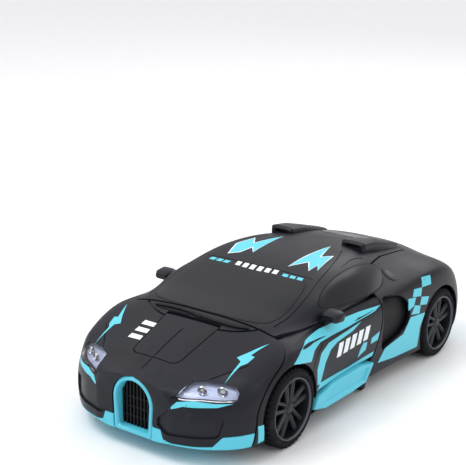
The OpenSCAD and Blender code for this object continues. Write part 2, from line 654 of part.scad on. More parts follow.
/* Roof shell, hinged to the chest at the cowl and to the rear half at its tail. */
module roof_shell() color(black) as_one() intersection() {
    skin();
    translate([0, 0, 46]) linear_extrude(50) offset(delta = -seam) polygon(mirrored(roof_plan));
}
scoop_x = 24;
scoop_mouth = [6.4, 2, 8];
lobe_fn = 20;
module scoop_lobe(y, z, size, tilt) {
    translate([scoop_x, y, z]) rotate([tilt, 0, 0]) scale(size) sphere(1, $fn = lobe_fn);
}
module roof_scoops() color(black) both() as_one() difference() {
    hull() {
        scoop_lobe(30.5, 69, [8.6, 4.5, 4.9], -6);
        scoop_lobe(42, 67.4, [8.2, 6, 4.6], -8);
        scoop_lobe(70, 62.6, [6, 6, 2.4], -14);
    }
    body_solid(0);
    translate([scoop_x, 24, 71.4]) rotate([-90, 0, 0]) scale([scoop_mouth[0], scoop_mouth[1], 1])
        cylinder(r = 1, h = scoop_mouth[2]);
}
// Side arms of the roof, from its cowl hinge to its tail hinge, as [y, z]
strut_outline = [[cowl_y - 2, roof_front_p[1] - 2.4], [cowl_y - 2, roof_front_p[1] + 2.2], [-62, 53.6],
    [-40, 59], [20, 61], [50, 59.6], [66, roof_rear_p[1] + 2], [66, roof_rear_p[1] - 2.4], [20, 55],
    [-50, 50.5]];
// Posts from the side arms up to the roof, as [front, top]
strut_posts = [[-30, 65.5], [30, 67.4]];
module roof_struts() color(dark) both() {
    rod_x(roof_front_p, pin_r, 26, 32);
    rod_x(roof_rear_p, pin_r, 26, 35.5);
    prism(strut_outline, 26, 28.6);
    for (post = strut_posts) span_box([26, post[0], 57], [28.6, post[0] + 6, post[1]]);
}

rear_chassis();
rear_shell();
rear_trim();
tail_lamps();
support_feet();
gear_motors();
battery_cell();
battery_door();
battery_door_screw();
circuit_board();
leg_pivot_pin();
power_switch();
pinion(1);  // pinion_left
pinion(-1);  // pinion_right
lift_pinion();
side(1) tyre(rear_p);  // rear_tyre_left
side(1) rim(rear_p);  // rear_rim_left
rear_axle(1);  // rear_axle_left
side(-1) tyre(rear_p);  // rear_tyre_right
side(-1) rim(rear_p);  // rear_rim_right
rear_axle(-1);  // rear_axle_right
leg_frame();
rib_armour();
spine_cover();
pelvis_cover();
thigh_armour();
knee_discs();
shin_covers();
shin_sides();
lift_gear();
chest_pivot_pin();
hood_shell();
front_lip();
grille_ring();
grille_panel();
headlight_lenses();
headlight_reflectors();
led_lamps();
chest_frame();
hatch_panel();
head_helmet();
head_face();
head_eyes();
arm_beam(1);  // arm_beam_left
wheel_housing(1);  // wheel_housing_left
door_shell(1);  // door_shell_left
door_sill(1);  // door_sill_left
arm_beam(-1);  // arm_beam_right
wheel_housing(-1);  // wheel_housing_right
door_shell(-1);  // door_shell_right
door_sill(-1);  // door_sill_right
side(1) tyre(front_p);  // front_tyre_left
side(1) rim(front_p);  // front_rim_left
front_axle(1);  // front_axle_left
side(-1) tyre(front_p);  // front_tyre_right
side(-1) rim(front_p);  // front_rim_right
front_axle(-1);  // front_axle_right
roof_shell();
roof_scoops();
roof_struts();
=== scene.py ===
"""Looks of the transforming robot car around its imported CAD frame.

Shapes are worked out in millimetres in the frame's own axes (front towards -Y, +Z up) and scaled to
metres when a piece is placed. The body surface repeats the part's own lines at a finer step.
"""
import json
import math

import bmesh
import bpy
import numpy as np
from mathutils import Matrix, Vector
from mathutils.bvhtree import BVHTree
from mathutils.interpolate import poly_3d_calc

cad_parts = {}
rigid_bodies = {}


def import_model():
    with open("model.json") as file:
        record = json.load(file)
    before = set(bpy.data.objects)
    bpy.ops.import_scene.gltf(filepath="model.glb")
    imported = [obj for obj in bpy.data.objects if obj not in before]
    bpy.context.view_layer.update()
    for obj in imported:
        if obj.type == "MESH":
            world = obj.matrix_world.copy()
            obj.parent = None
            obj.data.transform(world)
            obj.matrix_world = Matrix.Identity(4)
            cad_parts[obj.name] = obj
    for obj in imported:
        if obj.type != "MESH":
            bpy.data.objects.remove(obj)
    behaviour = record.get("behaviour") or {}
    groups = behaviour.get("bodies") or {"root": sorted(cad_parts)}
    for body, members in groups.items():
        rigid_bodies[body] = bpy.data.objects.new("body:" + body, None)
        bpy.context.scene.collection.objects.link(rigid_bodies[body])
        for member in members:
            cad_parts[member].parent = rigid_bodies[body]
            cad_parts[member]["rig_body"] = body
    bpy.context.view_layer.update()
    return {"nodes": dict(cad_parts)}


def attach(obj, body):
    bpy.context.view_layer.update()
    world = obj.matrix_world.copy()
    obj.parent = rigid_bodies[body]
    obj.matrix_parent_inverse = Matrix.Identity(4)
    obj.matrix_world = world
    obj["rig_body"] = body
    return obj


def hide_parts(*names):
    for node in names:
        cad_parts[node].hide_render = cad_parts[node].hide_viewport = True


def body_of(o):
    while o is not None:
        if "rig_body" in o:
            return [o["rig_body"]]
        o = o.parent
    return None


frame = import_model()
MM = 0.001
HANDS = (("left", 1), ("right", -1))

# ---------------------------------------------------------------- driving dimensions, as in the part
AXLE_Z = 20.0
FRONT_Y = -75.0
REAR_Y = 77.0
TYRE_R = 20.0
RIM_R = 16.2
WHEEL_IN = 41.0
WHEEL_OUT = 59.0
ARCH_R = 22.6
WALL = 1.8
SEAM = 0.6
HALF_LENGTH = 126.0
COWL_Y = -72.0
TAIL_Y = 77.0
BELT_Z = 52.0
GRILLE_R = 12.8
GRILLE_LOW = 8.5
GRILLE_HIGH = 38.5
HINGE = Matrix.Translation((0, -79.3, 52.3))

# Cutters reach past the body: its sides, its nose and tail, and its floor.
SIDE_OUT = 70
END_OUT = 130
BELOW = -5

LINES = {
    "width": [(-126, 24), (-122.5, 35.5), (-116, 45), (-108, 52.5), (-98, 57), (-75, 60), (-50, 57.5),
              (-20, 56), (15, 56.5), (50, 58.5), (77, 60), (96, 59), (107, 55), (115, 47), (122, 36),
              (126, 24)],
    "bottom": [(-126, 9), (-116, 7.5), (-100, 7), (70, 7.5), (100, 10), (116, 14), (126, 17)],
    "shoulder_x": [(-126, 18), (-116, 38), (-108, 45), (-98, 51), (-75, 53), (-50, 52), (-20, 53),
                   (15, 53.5), (50, 53), (77, 53), (96, 51), (107, 46), (115, 38), (126, 17)],
    "shoulder_z": [(-126, 36.5), (-116, 36), (-108, 38), (-98, 43), (-75, 50.5), (-50, 49.5), (-20, 49),
                   (15, 51), (50, 55), (77, 55.5), (96, 50.5), (107, 44), (115, 38.5), (126, 34)],
    "base_x": [(-126, 12), (-116, 28), (-108, 34), (-98, 38), (-75, 43), (-50, 48), (-20, 49),
               (15, 48.5), (50, 43), (77, 38), (96, 34), (115, 25), (126, 12)],
    "base_z": [(-126, 38), (-116, 38.5), (-108, 41), (-98, 44.5), (-75, 52.5), (-50, 53), (-20, 53.5),
               (15, 55), (50, 59), (77, 58), (96, 53), (115, 44), (126, 36)],
    "rail_x": [(-126, 7), (-116, 16), (-98, 20), (-80, 28), (-68, 36.5), (-55, 40.5), (-40, 43), (-25, 41),
               (5, 38.5), (20, 36), (50, 29), (77, 24), (96, 21), (115, 15), (126, 7)],
    "rail_z": [(-126, 38.3), (-116, 40.2), (-108, 43.4), (-98, 46.8), (-80, 52.5), (-68, 56), (-55, 58.6),
               (-40, 63.3), (-25, 67.2), (-10, 69.7), (5, 70.4), (20, 69.8), (35, 68), (50, 66), (77, 61.5),
               (96, 56), (115, 47), (126, 37)],
    "top": [(-126, 38.5), (-116, 41.4), (-108, 44.6), (-98, 48.2), (-80, 53.8), (-72, 56.2), (-55, 59.8),
            (-40, 63.6), (-25, 67.4), (-10, 69.9), (5, 70.9), (20, 71), (45, 69), (63, 65.8), (77, 62.6),
            (96, 57), (108, 51.5), (116, 46.5), (126, 37.5)],
}


# ---------------------------------------------------------------- curves and outlines
def line(name, y):
    """Value of a body line at y: a smooth curve through its points."""
    table = LINES[name]
    q = min(max(y, table[0][0]), table[-1][0])
    i = max(k for k in range(len(table) - 1) if k == 0 or table[k][0] <= q)

    def slope(k):
        a, b = table[max(k - 1, 0)], table[min(k + 1, len(table) - 1)]
        return (b[1] - a[1]) / (b[0] - a[0])

    (y0, v0), (y1, v1) = table[i], table[i + 1]
    h = y1 - y0
    u = (q - y0) / h
    return ((2 * u**3 - 3 * u**2 + 1) * v0 + (u**3 - 2 * u**2 + u) * slope(i) * h
            + (3 * u**2 - 2 * u**3) * v1 + (u**3 - u**2) * slope(i + 1) * h)


def cut_corners(points, times=1, closed=False):
    """Corner cutting: rounds an outline, and keeps the ends of an open one."""
    pts = [np.array(p, float) for p in points]
    for _ in range(times):
        pairs = list(zip(pts, pts[1:] + pts[:1])) if closed else list(zip(pts, pts[1:]))
        quarters = [q for a, b in pairs for q in (0.75 * a + 0.25 * b, 0.25 * a + 0.75 * b)]
        pts = quarters if closed else [pts[0]] + quarters + [pts[-1]]
    return pts


def half_section(y):
    """Outline of the body's left half at y, from the floor up to the roof line."""
    w, b = line("width", y), line("bottom", y)
    sx, sz = line("shoulder_x", y), line("shoulder_z", y)
    rx, top = line("rail_x", y), line("top", y)
    return [(0, b), (w - 2.5, b), (w - 0.6, b + 5), (w, (b + sz) / 2), ((w + sx) / 2 + 1.8, sz - 5), (sx, sz),
            (line("base_x", y), line("base_z", y)), (rx, line("rail_z", y)), (rx / 2, top), (0, top)]


def ring(y, inset, cuts):
    """Full closed section of the body at y, moved inwards by inset, as [x, z] rows."""
    p = np.array(cut_corners(half_section(y), cuts))
    a = np.vstack([p[:1], p[:-1]])
    b = np.vstack([p[1:], p[-1:]])
    d = b - a
    n = np.c_[-d[:, 1], d[:, 0]] / np.linalg.norm(d, axis=1)[:, None]
    n[0], n[-1] = (0, 1), (0, -1)
    p = p + inset * n
    p[:, 0] = np.maximum(p[:, 0], 0)
    mirrored = p[-2:0:-1] * (-1, 1)
    return np.vstack([p, mirrored])


def bands(rows, n):
    """Faces between closed rows of n vertices, from each row to the next."""
    return [(i * n + j, i * n + (j + 1) % n, (i + 1) * n + (j + 1) % n, (i + 1) * n + j)
            for i in range(rows - 1) for j in range(n)]


def body_mesh(inset, step, cuts):
    """Vertices and faces of the closed body surface, moved inwards by inset."""
    nose = [0, 0.5, 1.2, 2, 3, 4.2, 5.6, 7.2, 9, 11, 13]
    ys = [t - HALF_LENGTH for t in nose]
    ys += list(np.arange(-113 + step, 113, step))
    ys += [HALF_LENGTH - t for t in reversed(nose)]
    shrink = (HALF_LENGTH - inset) / HALF_LENGTH
    rings = [ring(y, inset, cuts) for y in ys]
    n, last = len(rings[0]), len(ys) - 1
    verts = [(p[0], y * shrink, p[1]) for y, r in zip(ys, rings) for p in r]
    faces = bands(len(ys), n)
    faces += [tuple(range(n - 1, -1, -1)), tuple(last * n + j for j in range(n))]
    return verts, faces


def arc(centre, radius, start, end, steps):
    """Points of an arc, angles in degrees."""
    angles = [math.radians(start + (end - start) * k / steps) for k in range(steps + 1)]
    return [(centre[0] + radius * math.cos(a), centre[1] + radius * math.sin(a)) for a in angles]


def circle(centre, radius, steps=48):
    return arc(centre, radius, 0, 360 - 360 / steps, steps - 1)


def ribbon(points, width, ends=1.0):
    """Outline of a band along points; ends is its width at both ends as a share of width."""
    p = [np.array(q, float) for q in points]
    left, right = [], []
    for i, q in enumerate(p):
        d = p[min(i + 1, len(p) - 1)] - p[max(i - 1, 0)]
        n = np.array((-d[1], d[0])) / np.linalg.norm(d)
        half = width / 2 * (ends if i in (0, len(p) - 1) else 1)
        left.append(q + n * half)
        right.append(q - n * half)
    return left + right[::-1]


def grown(points, distance):
    """Closed outline moved outwards by distance, with mitred corners."""
    p = [np.array(q, float) for q in points]
    area = sum(a[0] * b[1] - b[0] * a[1] for a, b in zip(p, p[1:] + p[:1]))
    out = []
    for i, q in enumerate(p):
        d0, d1 = q - p[i - 1], p[(i + 1) % len(p)] - q
        n0 = np.array((d0[1], -d0[0])) / np.linalg.norm(d0)
        n1 = np.array((d1[1], -d1[0])) / np.linalg.norm(d1)
        n = (n0 + n1) * math.copysign(1, area)
        out.append(q + n * distance / max(np.dot(n, n) / 2, 0.4))
    return out


def across(points, sign):
    """Front or plan outline drawn for the left: as it is (+1) or mirrored to the right (-1)."""
    return [(p[0] * sign, p[1]) for p in points]


def mirrored(points):
    """Outline across the middle plane from its half with x > 0."""
    return list(points) + across(reversed(points), -1)


# ---------------------------------------------------------------- meshes
def linked(name, data):
    """New object in the scene."""
    obj = bpy.data.objects.new(name, data)
    bpy.context.scene.collection.objects.link(obj)
    return obj


def new_object(name, verts, faces):
    """Object in millimetres, with its faces pointing outwards."""
    mesh = bpy.data.meshes.new(name)
    mesh.from_pydata([tuple(map(float, v)) for v in verts], [], [tuple(f) for f in faces])
    obj = linked(name, mesh)
    bm = bmesh.new()
    bm.from_mesh(mesh)
    bmesh.ops.remove_doubles(bm, verts=bm.verts, dist=1e-5)
    bmesh.ops.recalc_face_normals(bm, faces=bm.faces)
    bm.to_mesh(mesh)
    bm.free()
    return obj


def on_axis(axis, p, t):
    """Point from outline coordinates p and place t along axis: 0 side view, 1 front view, 2 plan."""
    return {0: (t, p[0], p[1]), 1: (p[0], t, p[1]), 2: (p[0], p[1], t)}[axis]


def layers(name, axis, levels):
    """Closed solid through outlines of equal length, as (outline, place along axis) pairs."""
    n = len(levels[0][0])
    verts = [on_axis(axis, p, t) for outline, t in levels for p in outline]
    faces = bands(len(levels), n)
    last = (len(levels) - 1) * n
    faces += [tuple(range(n)), tuple(last + j for j in range(n))]
    return new_object(name, verts, faces)


def prism(outline, axis, low, high, name="cutter"):
    return layers(name, axis, [(outline, low), (outline, high)])


def plate(name, outline, axis, back, front, bevel):
    """Prism whose front edge is bevelled."""
    step = math.copysign(bevel, front - back)
    return layers(name, axis, [(outline, back), (outline, front - step), (grown(outline, -bevel), front)])


def box(low, high, name="cutter", bevel=0.0):
    outline = [(low[1], low[2]), (high[1], low[2]), (high[1], high[2]), (low[1], high[2])]
    obj = prism(outline, 0, low[0], high[0], name)
    if bevel:
        round_edges(obj, bevel)
    return obj


def turned(name, profile, steps=72, x_dir=1):
    """Solid of revolution round the X axis from a closed (radius, x) profile."""
    n = len(profile)
    verts = []
    for k in range(steps):
        a = 2 * math.pi * k / steps
        verts += [(x * x_dir, r * math.cos(a), r * math.sin(a)) for r, x in profile]
    faces = [(k * n + j, k * n + (j + 1) % n, (k + 1) % steps * n + (j + 1) % n, (k + 1) % steps * n + j)
             for k in range(steps) for j in range(n)]
    return new_object(name, verts, faces)


def apply_modifiers(obj):
    graph = bpy.context.evaluated_depsgraph_get()
    mesh = bpy.data.meshes.new_from_object(obj.evaluated_get(graph))
    obj.modifiers.clear()
    old = obj.data
    obj.data = mesh
    bpy.data.meshes.remove(old)
    return obj


def boolean(obj, operation, *cutters):
    """DIFFERENCE or INTERSECT with each cutter in turn; the cutters are used up."""
    for cutter in cutters:
        modifier = obj.modifiers.new("cut", "BOOLEAN")
        modifier.operation = operation
        modifier.solver = "EXACT"
        modifier.object = cutter
        apply_modifiers(obj)
        bpy.data.objects.remove(cutter)
    return obj


def round_edges(obj, width, angle=35):
    modifier = obj.modifiers.new("bevel", "BEVEL")
    modifier.width = width
    modifier.segments = 2
    modifier.limit_method = "ANGLE"
    modifier.angle_limit = math.radians(angle)
    modifier.harden_normals = False
    return apply_modifiers(obj)


def join(name, parts):
    """One object from several."""
    verts, faces = [], []
    for part in parts:
        base = len(verts)
        verts += [tuple(part.matrix_world @ v.co) for v in part.data.vertices]
        faces += [tuple(base + i for i in f.vertices) for f in part.data.polygons]
        bpy.data.objects.remove(part)
    mesh = bpy.data.meshes.new(name)
    mesh.from_pydata(verts, [], faces)
    return linked(name, mesh)


def copy_of(obj, name):
    other = obj.copy()
    other.data = obj.data.copy()
    other.name = name
    bpy.context.scene.collection.objects.link(other)
    return other


def moved(obj, matrix):
    obj.data.transform(matrix)
    if matrix.determinant() < 0:
        obj.data.flip_normals()
    return obj


MIRROR = Matrix.Scale(-1, 4, (1, 0, 0))


def mirror_copy(obj, name):
    return moved(copy_of(obj, name), MIRROR)


# ---------------------------------------------------------------- the body surface as a reference
outer_verts, outer_faces = body_mesh(0, 2.0, 3)
skin_tree = BVHTree.FromPolygons([Vector(v) for v in outer_verts], outer_faces)
outer = new_object("outer", outer_verts, outer_faces)


def vertex_normals(verts, faces):
    """Smooth normals of a closed mesh, by vertex."""
    p = np.array(verts)
    total = np.zeros_like(p)
    for face in faces:
        if len(face) == 4:
            a, b, c, d = p[list(face)]
            total[list(face)] += np.cross(c - a, d - b)
    return total / np.maximum(np.linalg.norm(total, axis=1), 1e-9)[:, None]


outer_normals = vertex_normals(outer_verts, outer_faces)
if outer_normals[np.argmax(np.array(outer_verts)[:, 0]), 0] < 0:
    outer_normals = -outer_normals


def normal_at(face_index, point):
    """Smooth normal of the body surface at a point on one of its faces."""
    corners = [Vector(outer_verts[i]) for i in outer_faces[face_index]]
    if len(corners) > 4:
        return Vector((0, math.copysign(1, point.y), 0))
    weights = poly_3d_calc(corners, point)
    total = Vector()
    for index, weight in zip(outer_faces[face_index], weights):
        total += weight * Vector(outer_normals[index])
    return total.normalized()


RAY_START = 300.0
MISSED_FROM = 45.0
SLAB_STEP = 2.0
SMOOTH_ANGLE = 32


def surface_point(axis, p, side):
    """Point and normal where a line along axis, coming from side (+1 or -1), meets the body."""
    origin = Vector(on_axis(axis, p, RAY_START * side))
    direction = Vector(on_axis(axis, (0, 0), -1.0 * side))
    place, _, index, _ = skin_tree.ray_cast(origin, direction)
    if place is None:
        place, _, index, _ = skin_tree.find_nearest(Vector(on_axis(axis, p, MISSED_FROM * side)))
    return place, normal_at(index, place)


def slab(name, outline, axis, side, low, high):
    """Closed slab that follows the body over an outline, between low and high above its surface."""
    bm = bmesh.new()
    bm.faces.new([bm.verts.new((p[0], p[1], 0)) for p in outline])
    for k in (0, 1):
        values = [p[k] for p in outline]
        start = math.ceil(min(values) / SLAB_STEP) * SLAB_STEP
        way = Vector((1 - k, k, 0))
        for distance in np.arange(start, max(values), SLAB_STEP):
            bmesh.ops.bisect_plane(bm, geom=bm.verts[:] + bm.edges[:] + bm.faces[:], dist=1e-4,
                                   plane_co=way * distance, plane_no=way)
    bmesh.ops.triangulate(bm, faces=[f for f in bm.faces if len(f.verts) > 4])
    bm.verts.index_update()
    n = len(bm.verts)
    hits = [surface_point(axis, (v.co.x, v.co.y), side) for v in bm.verts]
    verts = [p + normal * high for p, normal in hits] + [p + normal * low for p, normal in hits]
    faces = [tuple(v.index for v in f.verts) for f in bm.faces]
    faces += [tuple(v.index + n for v in reversed(f.verts)) for f in bm.faces]
    for edge in bm.edges:
        if len(edge.link_faces) == 1:
            loop = edge.link_loops[0]
            a, b = loop.vert.index, loop.link_loop_next.vert.index
            faces.append((b, a, a + n, b + n))
    bm.free()
    return new_object(name, verts, faces)


def fair(obj, reach=0.7):
    """Gives faces that lie along the body surface its smooth normals, and the rest sharp edges."""
    mesh = obj.data
    for polygon in mesh.polygons:
        polygon.use_smooth = True
    mesh.set_sharp_from_angle(angle=math.radians(SMOOTH_ANGLE))
    on_skin = {}
    for vertex in mesh.vertices:
        place, _, index, distance = skin_tree.find_nearest(vertex.co)
        if distance < reach:
            on_skin[vertex.index] = normal_at(index, place)
    normals = [Vector(n.vector) for n in mesh.corner_normals]
    for polygon in mesh.polygons:
        known = [on_skin.get(i) for i in polygon.vertices]
        if all(n is not None and n.dot(polygon.normal) > 0.9 for n in known):
            for loop_index, normal in zip(polygon.loop_indices, known):
                normals[loop_index] = normal
    mesh.normals_split_custom_set(normals)
    return obj


def soften(obj, angle=SMOOTH_ANGLE):
    """Smooth shading with sharp edges above an angle."""
    for polygon in obj.data.polygons:
        polygon.use_smooth = True
    obj.data.set_sharp_from_angle(angle=math.radians(angle))
    return obj


# ---------------------------------------------------------------- materials
def srgb(red, green, blue):
    """Linear colour from display values above 10, of 255."""
    shares = (red / 255, green / 255, blue / 255)
    return tuple(((v + 0.055) / 1.055) ** 2.4 for v in shares) + (1,)


def noise(tree, coords, scale, detail, stretch=(1, 1, 1)):
    mapping = tree.nodes.new("ShaderNodeMapping")
    mapping.inputs["Scale"].default_value = stretch
    tree.links.new(coords.outputs["Object"], mapping.inputs["Vector"])
    node = tree.nodes.new("ShaderNodeTexNoise")
    node.inputs["Scale"].default_value = scale
    node.inputs["Detail"].default_value = detail
    tree.links.new(mapping.outputs["Vector"], node.inputs["Vector"])
    return node.outputs["Fac"]


def mapped(tree, value, low, high, start=0.3, end=0.7):
    node = tree.nodes.new("ShaderNodeMapRange")
    node.inputs["From Min"].default_value = start
    node.inputs["From Max"].default_value = end
    node.inputs["To Min"].default_value = low
    node.inputs["To Max"].default_value = high
    tree.links.new(value, node.inputs["Value"])
    return node.outputs["Result"]


LOOKS = {}


def add_look(name, display, rough, metal=0.0, spread=0.1, bump=0.05, wear=0.1, **extra):
    """Plastic, rubber or metal with moulded grain, uneven gloss and light scuffs."""
    colour = srgb(*display)
    mat = bpy.data.materials.new(name)
    mat.use_nodes = True
    tree = mat.node_tree
    shader = tree.nodes["Principled BSDF"]
    shader.inputs["Metallic"].default_value = metal
    for key, value in extra.items():
        shader.inputs[key.replace("_", " ")].default_value = value
    coords = tree.nodes.new("ShaderNodeTexCoord")
    broad = noise(tree, coords, 45, 3)
    fine = noise(tree, coords, 1500, 2)
    scuff = noise(tree, coords, 160, 4, (1, 0.12, 1))
    mix = tree.nodes.new("ShaderNodeMix")
    mix.data_type = "RGBA"
    tree.links.new(mapped(tree, broad, 0, 1), mix.inputs[0])
    mix.inputs[6].default_value = tuple(c * (1 - spread) for c in colour[:3]) + (1,)
    mix.inputs[7].default_value = tuple(min(c * (1 + spread), 0.98) for c in colour[:3]) + (1,)
    worn = tree.nodes.new("ShaderNodeMix")
    worn.data_type = "RGBA"
    tree.links.new(mapped(tree, scuff, 0, wear, 0.62, 0.8), worn.inputs[0])
    tree.links.new(mix.outputs[2], worn.inputs[6])
    worn.inputs[7].default_value = tuple(min(0.75 * c + 0.12, 1) for c in colour[:3]) + (1,)
    tree.links.new(worn.outputs[2], shader.inputs["Base Color"])
    tree.links.new(mapped(tree, broad, rough * 0.86, min(rough * 1.16, 1)), shader.inputs["Roughness"])
    relief = tree.nodes.new("ShaderNodeBump")
    relief.inputs["Strength"].default_value = bump
    relief.inputs["Distance"].default_value = 0.0002
    tree.links.new(fine, relief.inputs["Height"])
    tree.links.new(relief.outputs["Normal"], shader.inputs["Normal"])
    LOOKS[name] = mat


add_look("body_black", (24, 25, 33), 0.38, Specular_IOR_Level=0.24)
add_look("window_black", (22, 23, 29), 0.24, bump=0.0, wear=0.03, Specular_IOR_Level=0.26)
# dark_plastic is the dark parts' own colour. It is also kept very dark with a low specular level so that
# inner parts seen through the panel gaps read black: partly painted shade in the gaps.
add_look("dark_plastic", (17, 17, 20), 0.5, bump=0.1, Specular_IOR_Level=0.16)
add_look("cyan_plastic", (84, 196, 218), 0.38, spread=0.03, bump=0.04, wear=0.15)
add_look("cyan_print", (92, 202, 220), 0.42, spread=0.03, bump=0.03, wear=0.2)
add_look("pale_print", (236, 242, 244), 0.42, spread=0.03, bump=0.03, wear=0.2)
add_look("silver_plastic", (176, 180, 186), 0.34, metal=0.45, spread=0.06)
add_look("tyre_rubber", (20, 20, 23), 0.75, bump=0.3, wear=0.15, Specular_IOR_Level=0.14)
add_look("rim_plastic", (26, 28, 34), 0.34, Specular_IOR_Level=0.3)
add_look("rim_edge", (80, 83, 90), 0.32, metal=0.3, bump=0.04)
add_look("steel", (176, 178, 182), 0.28, metal=1.0, spread=0.05)
add_look("nylon_gear", (150, 150, 146), 0.5, spread=0.04)
add_look("lens", (244, 245, 251), 0.04, spread=0.01, bump=0.01, wear=0.04, Transmission_Weight=1.0, IOR=1.2)
add_look("reflector", (206, 214, 236), 0.3, metal=0.45, spread=0.08)
add_look("lamp_white", (238, 238, 240), 0.15, spread=0.02)
add_look("lamp_red", (176, 18, 20), 0.16, spread=0.06)
add_look("motor_can", (150, 152, 156), 0.32, metal=0.9)
add_look("cell", (48, 120, 82), 0.35)
add_look("board", (26, 92, 50), 0.45)
add_look("switch_red", (186, 30, 28), 0.4)
add_look("eye_blue", (40, 150, 240), 0.15)
add_look("floor", (243, 243, 244), 0.6, spread=0.01, bump=0.02, wear=0.0)


def place(obj, look, node, *replaced):
    """Gives a finished piece its look and sets it on the body that CAD node rides on."""
    obj.data.transform(Matrix.Scale(MM, 4))
    obj.data.materials.clear()
    obj.data.materials.append(LOOKS[look])
    for polygon in obj.data.polygons:
        polygon.material_index = 0
    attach(obj, body_of(frame["nodes"][node])[0])
    if replaced:
        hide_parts(*replaced)
    return obj


def place_pair(obj, look, node, finish, *replaced):
    """Places a left piece on node_left and its mirror image on node_right."""
    other = mirror_copy(obj, obj.name.replace("_left", "_right"))
    for piece, (hand, _) in zip((obj, other), HANDS):
        finish(piece)
        place(piece, look, node.format(hand), *[name.format(hand) for name in replaced])


def paint_frame():
    """Gives the CAD nodes their looks, and takes the sharpness off the simple ones."""
    most_faces = 1500
    for name, obj in frame["nodes"].items():
        look = obj.data.materials[0].name.split(".")[0]
        obj.data.materials[0] = LOOKS[look]
        if len(obj.data.polygons) < most_faces:
            modifier = obj.modifiers.new("edges", "BEVEL")
            modifier.width = 0.25 * MM
            modifier.segments = 1
            modifier.limit_method = "ANGLE"
            modifier.angle_limit = math.radians(50)


# ---------------------------------------------------------------- outlines of the panels
GAP = 0.42
HATCH_GAP = 0.45
INSERT_GAP = 0.15
DOOR_FRONT = cut_corners([(-103.5, BELOW), (-101.5, 17), (-100.5, 29), (-92, 39.5), (-80, 46),
                          (-71.5, BELT_Z)], 2)
DOOR_REAR = cut_corners([(13.5, BELT_Z), (13.5, 38), (10.5, 29), (6.5, 21.4), (-2.5, 14), (-7, BELOW)], 2)
DOOR_SIDE = DOOR_FRONT + DOOR_REAR
REAR_SIDE = DOOR_REAR[::-1] + [(13.5, 90), (END_OUT, 90), (END_OUT, BELOW)]
BELT = [(44.2, COWL_Y + 0.6), (47.4, -60), (49, -50), (50, -20), (49.6, 13.5)]
ROOF_HALF = cut_corners(BELT + [(47, 15), (36, 34), (33, TAIL_Y)], 1)
ROOF_PLAN = mirrored(ROOF_HALF)
DOOR_PLAN = [(70, -120), (46, -120), (46, -80)] + BELT + [(49.6, 40), (70, 40)]
HATCH_PLAN = mirrored([(16.8, -79.6), (14.6, -105.5), (13.8, -108.6), (11, -110.2)])
COWL_SLOT = [[(-24, -76), (-14, -76.7), (-4, -76.9)], [(4, -76.9), (14, -76.7), (25, -76)]]
CREASE = [(33.6, -109.2), (40, -100.5), (45.4, -93.6)]
HOOD_INTAKE = [(21.8, 27.4), (45.8, 26.2), (46.4, 23.3), (44.9, 16.9), (43.4, 15.5), (20.4, 14.5),
               (15.4, 18), (15.6, 21.8)]
COWL_LINE = [(10.5, -82.3), (18, -81), (26, -78.3), (32, -74.6), (35, -72.2)]
LIP_EDGE = [(0, 16.5), (17.5, 16.5), (19, 12), (24, 11), (42, 11.5), (46, 16.5), (62, 17)]
LIGHT = [(22.9, 33.6), (25.6, 35.2), (26.2, 37.6), (27.4, 39.4), (33, 39.9), (41.3, 39.5), (46.5, 38.6),
         (48.9, 36.4), (49.1, 33.0), (43, 33.0), (36, 33.4), (29, 33.2)]
SILL = [(-57, 9.5), (-50.5, 21), (4.5, 21.4), (-3.5, 12.5), (-6, 9.5)]
DOOR_GROOVES = [[(-58, 25), (-56.5, 33), (-52, 40), (-45, 43.6)],
                [(-68, 49.4), (-40, 51.3), (-15, 51), (12, 51.2)]]
REAR_INTAKE = [(14.8, 51.4), (24, 50.6), (34, 48.2), (40.7, 41.8), (42.6, 33.5), (35.8, 26.3), (22, 23.4),
               (13.6, 20.6), (14.6, 34)]
PILLAR = [(40, -66), (41.6, -52), (40.5, -36), (37.4, -23), (35, -8), (31, 6), (24.5, 21.5)]
DECK = [(37.2, 0.9), (34.3, 17.6), (35.2, 26)]
BULB_PLACES = [((41.5, -108.9, 36.2), 1.35), ((33.5, -114.2, 36.6), 1.1)]


def grille_outline(r):
    """Arch of the grille from the front, r half as wide."""
    top = arc((0, GRILLE_HIGH - GRILLE_R), r, 0, 180, 32)
    low = GRILLE_LOW + GRILLE_R - r
    corner = 1.6
    foot = r - 0.8
    return top + [(-foot, low + corner), (-foot + 0.5, low + 0.4), (-foot + corner, low),
                  (foot - corner, low), (foot - 0.5, low + 0.4), (foot, low + corner)]


def both_sides(outline):
    """Front or plan outline and its mirror image."""
    return [across(outline, sign) for _, sign in HANDS]


# ---------------------------------------------------------------- body panels
def body_solid(name, inset):
    """The body's shape moved inwards, coarser than its outside."""
    return new_object(name, *body_mesh(inset, 4.0, 2))


shell = boolean(copy_of(outer, "shell"), "DIFFERENCE", body_solid("inner", WALL))


def groove(points, width, depth=0.45, smooth=1, axis=2):
    """Cutter for a narrow groove along points, seen in plan or from the left side."""
    return slab("cutter", ribbon(cut_corners(points, smooth), width, 0.6), axis, 1, -depth, 0.8)


def recess(outline, axis, side, depth):
    return slab("cutter", outline, axis, side, -depth, 1.2)


def panel(name, region, *cutters):
    """Part of the body's shell that lies in region, less the cutters."""
    obj = boolean(copy_of(shell, name), "INTERSECT", region)
    return boolean(obj, "DIFFERENCE", *cutters)


def side_prisms(outline, near, far, hands=(1, -1)):
    """Side view outline through the left (+1) and right (-1) side, near and far from the middle."""
    return [prism(outline, 0, *sorted((near * h, far * h))) for h in hands]


def arches(y, r, hands=(1, -1)):
    return side_prisms(circle((y, AXLE_Z), r, 72), 38.5, 66, hands)


def lip_prism(outline):
    """Front view outline through the nose."""
    return prism(outline, 1, -140, -90)


def grille_cutter():
    return prism(grown(grille_outline(GRILLE_R), INSERT_GAP), 1, -END_OUT, -112)


def light_cutter(outline, distance):
    return prism(grown(outline, distance), 1, -END_OUT, -92)


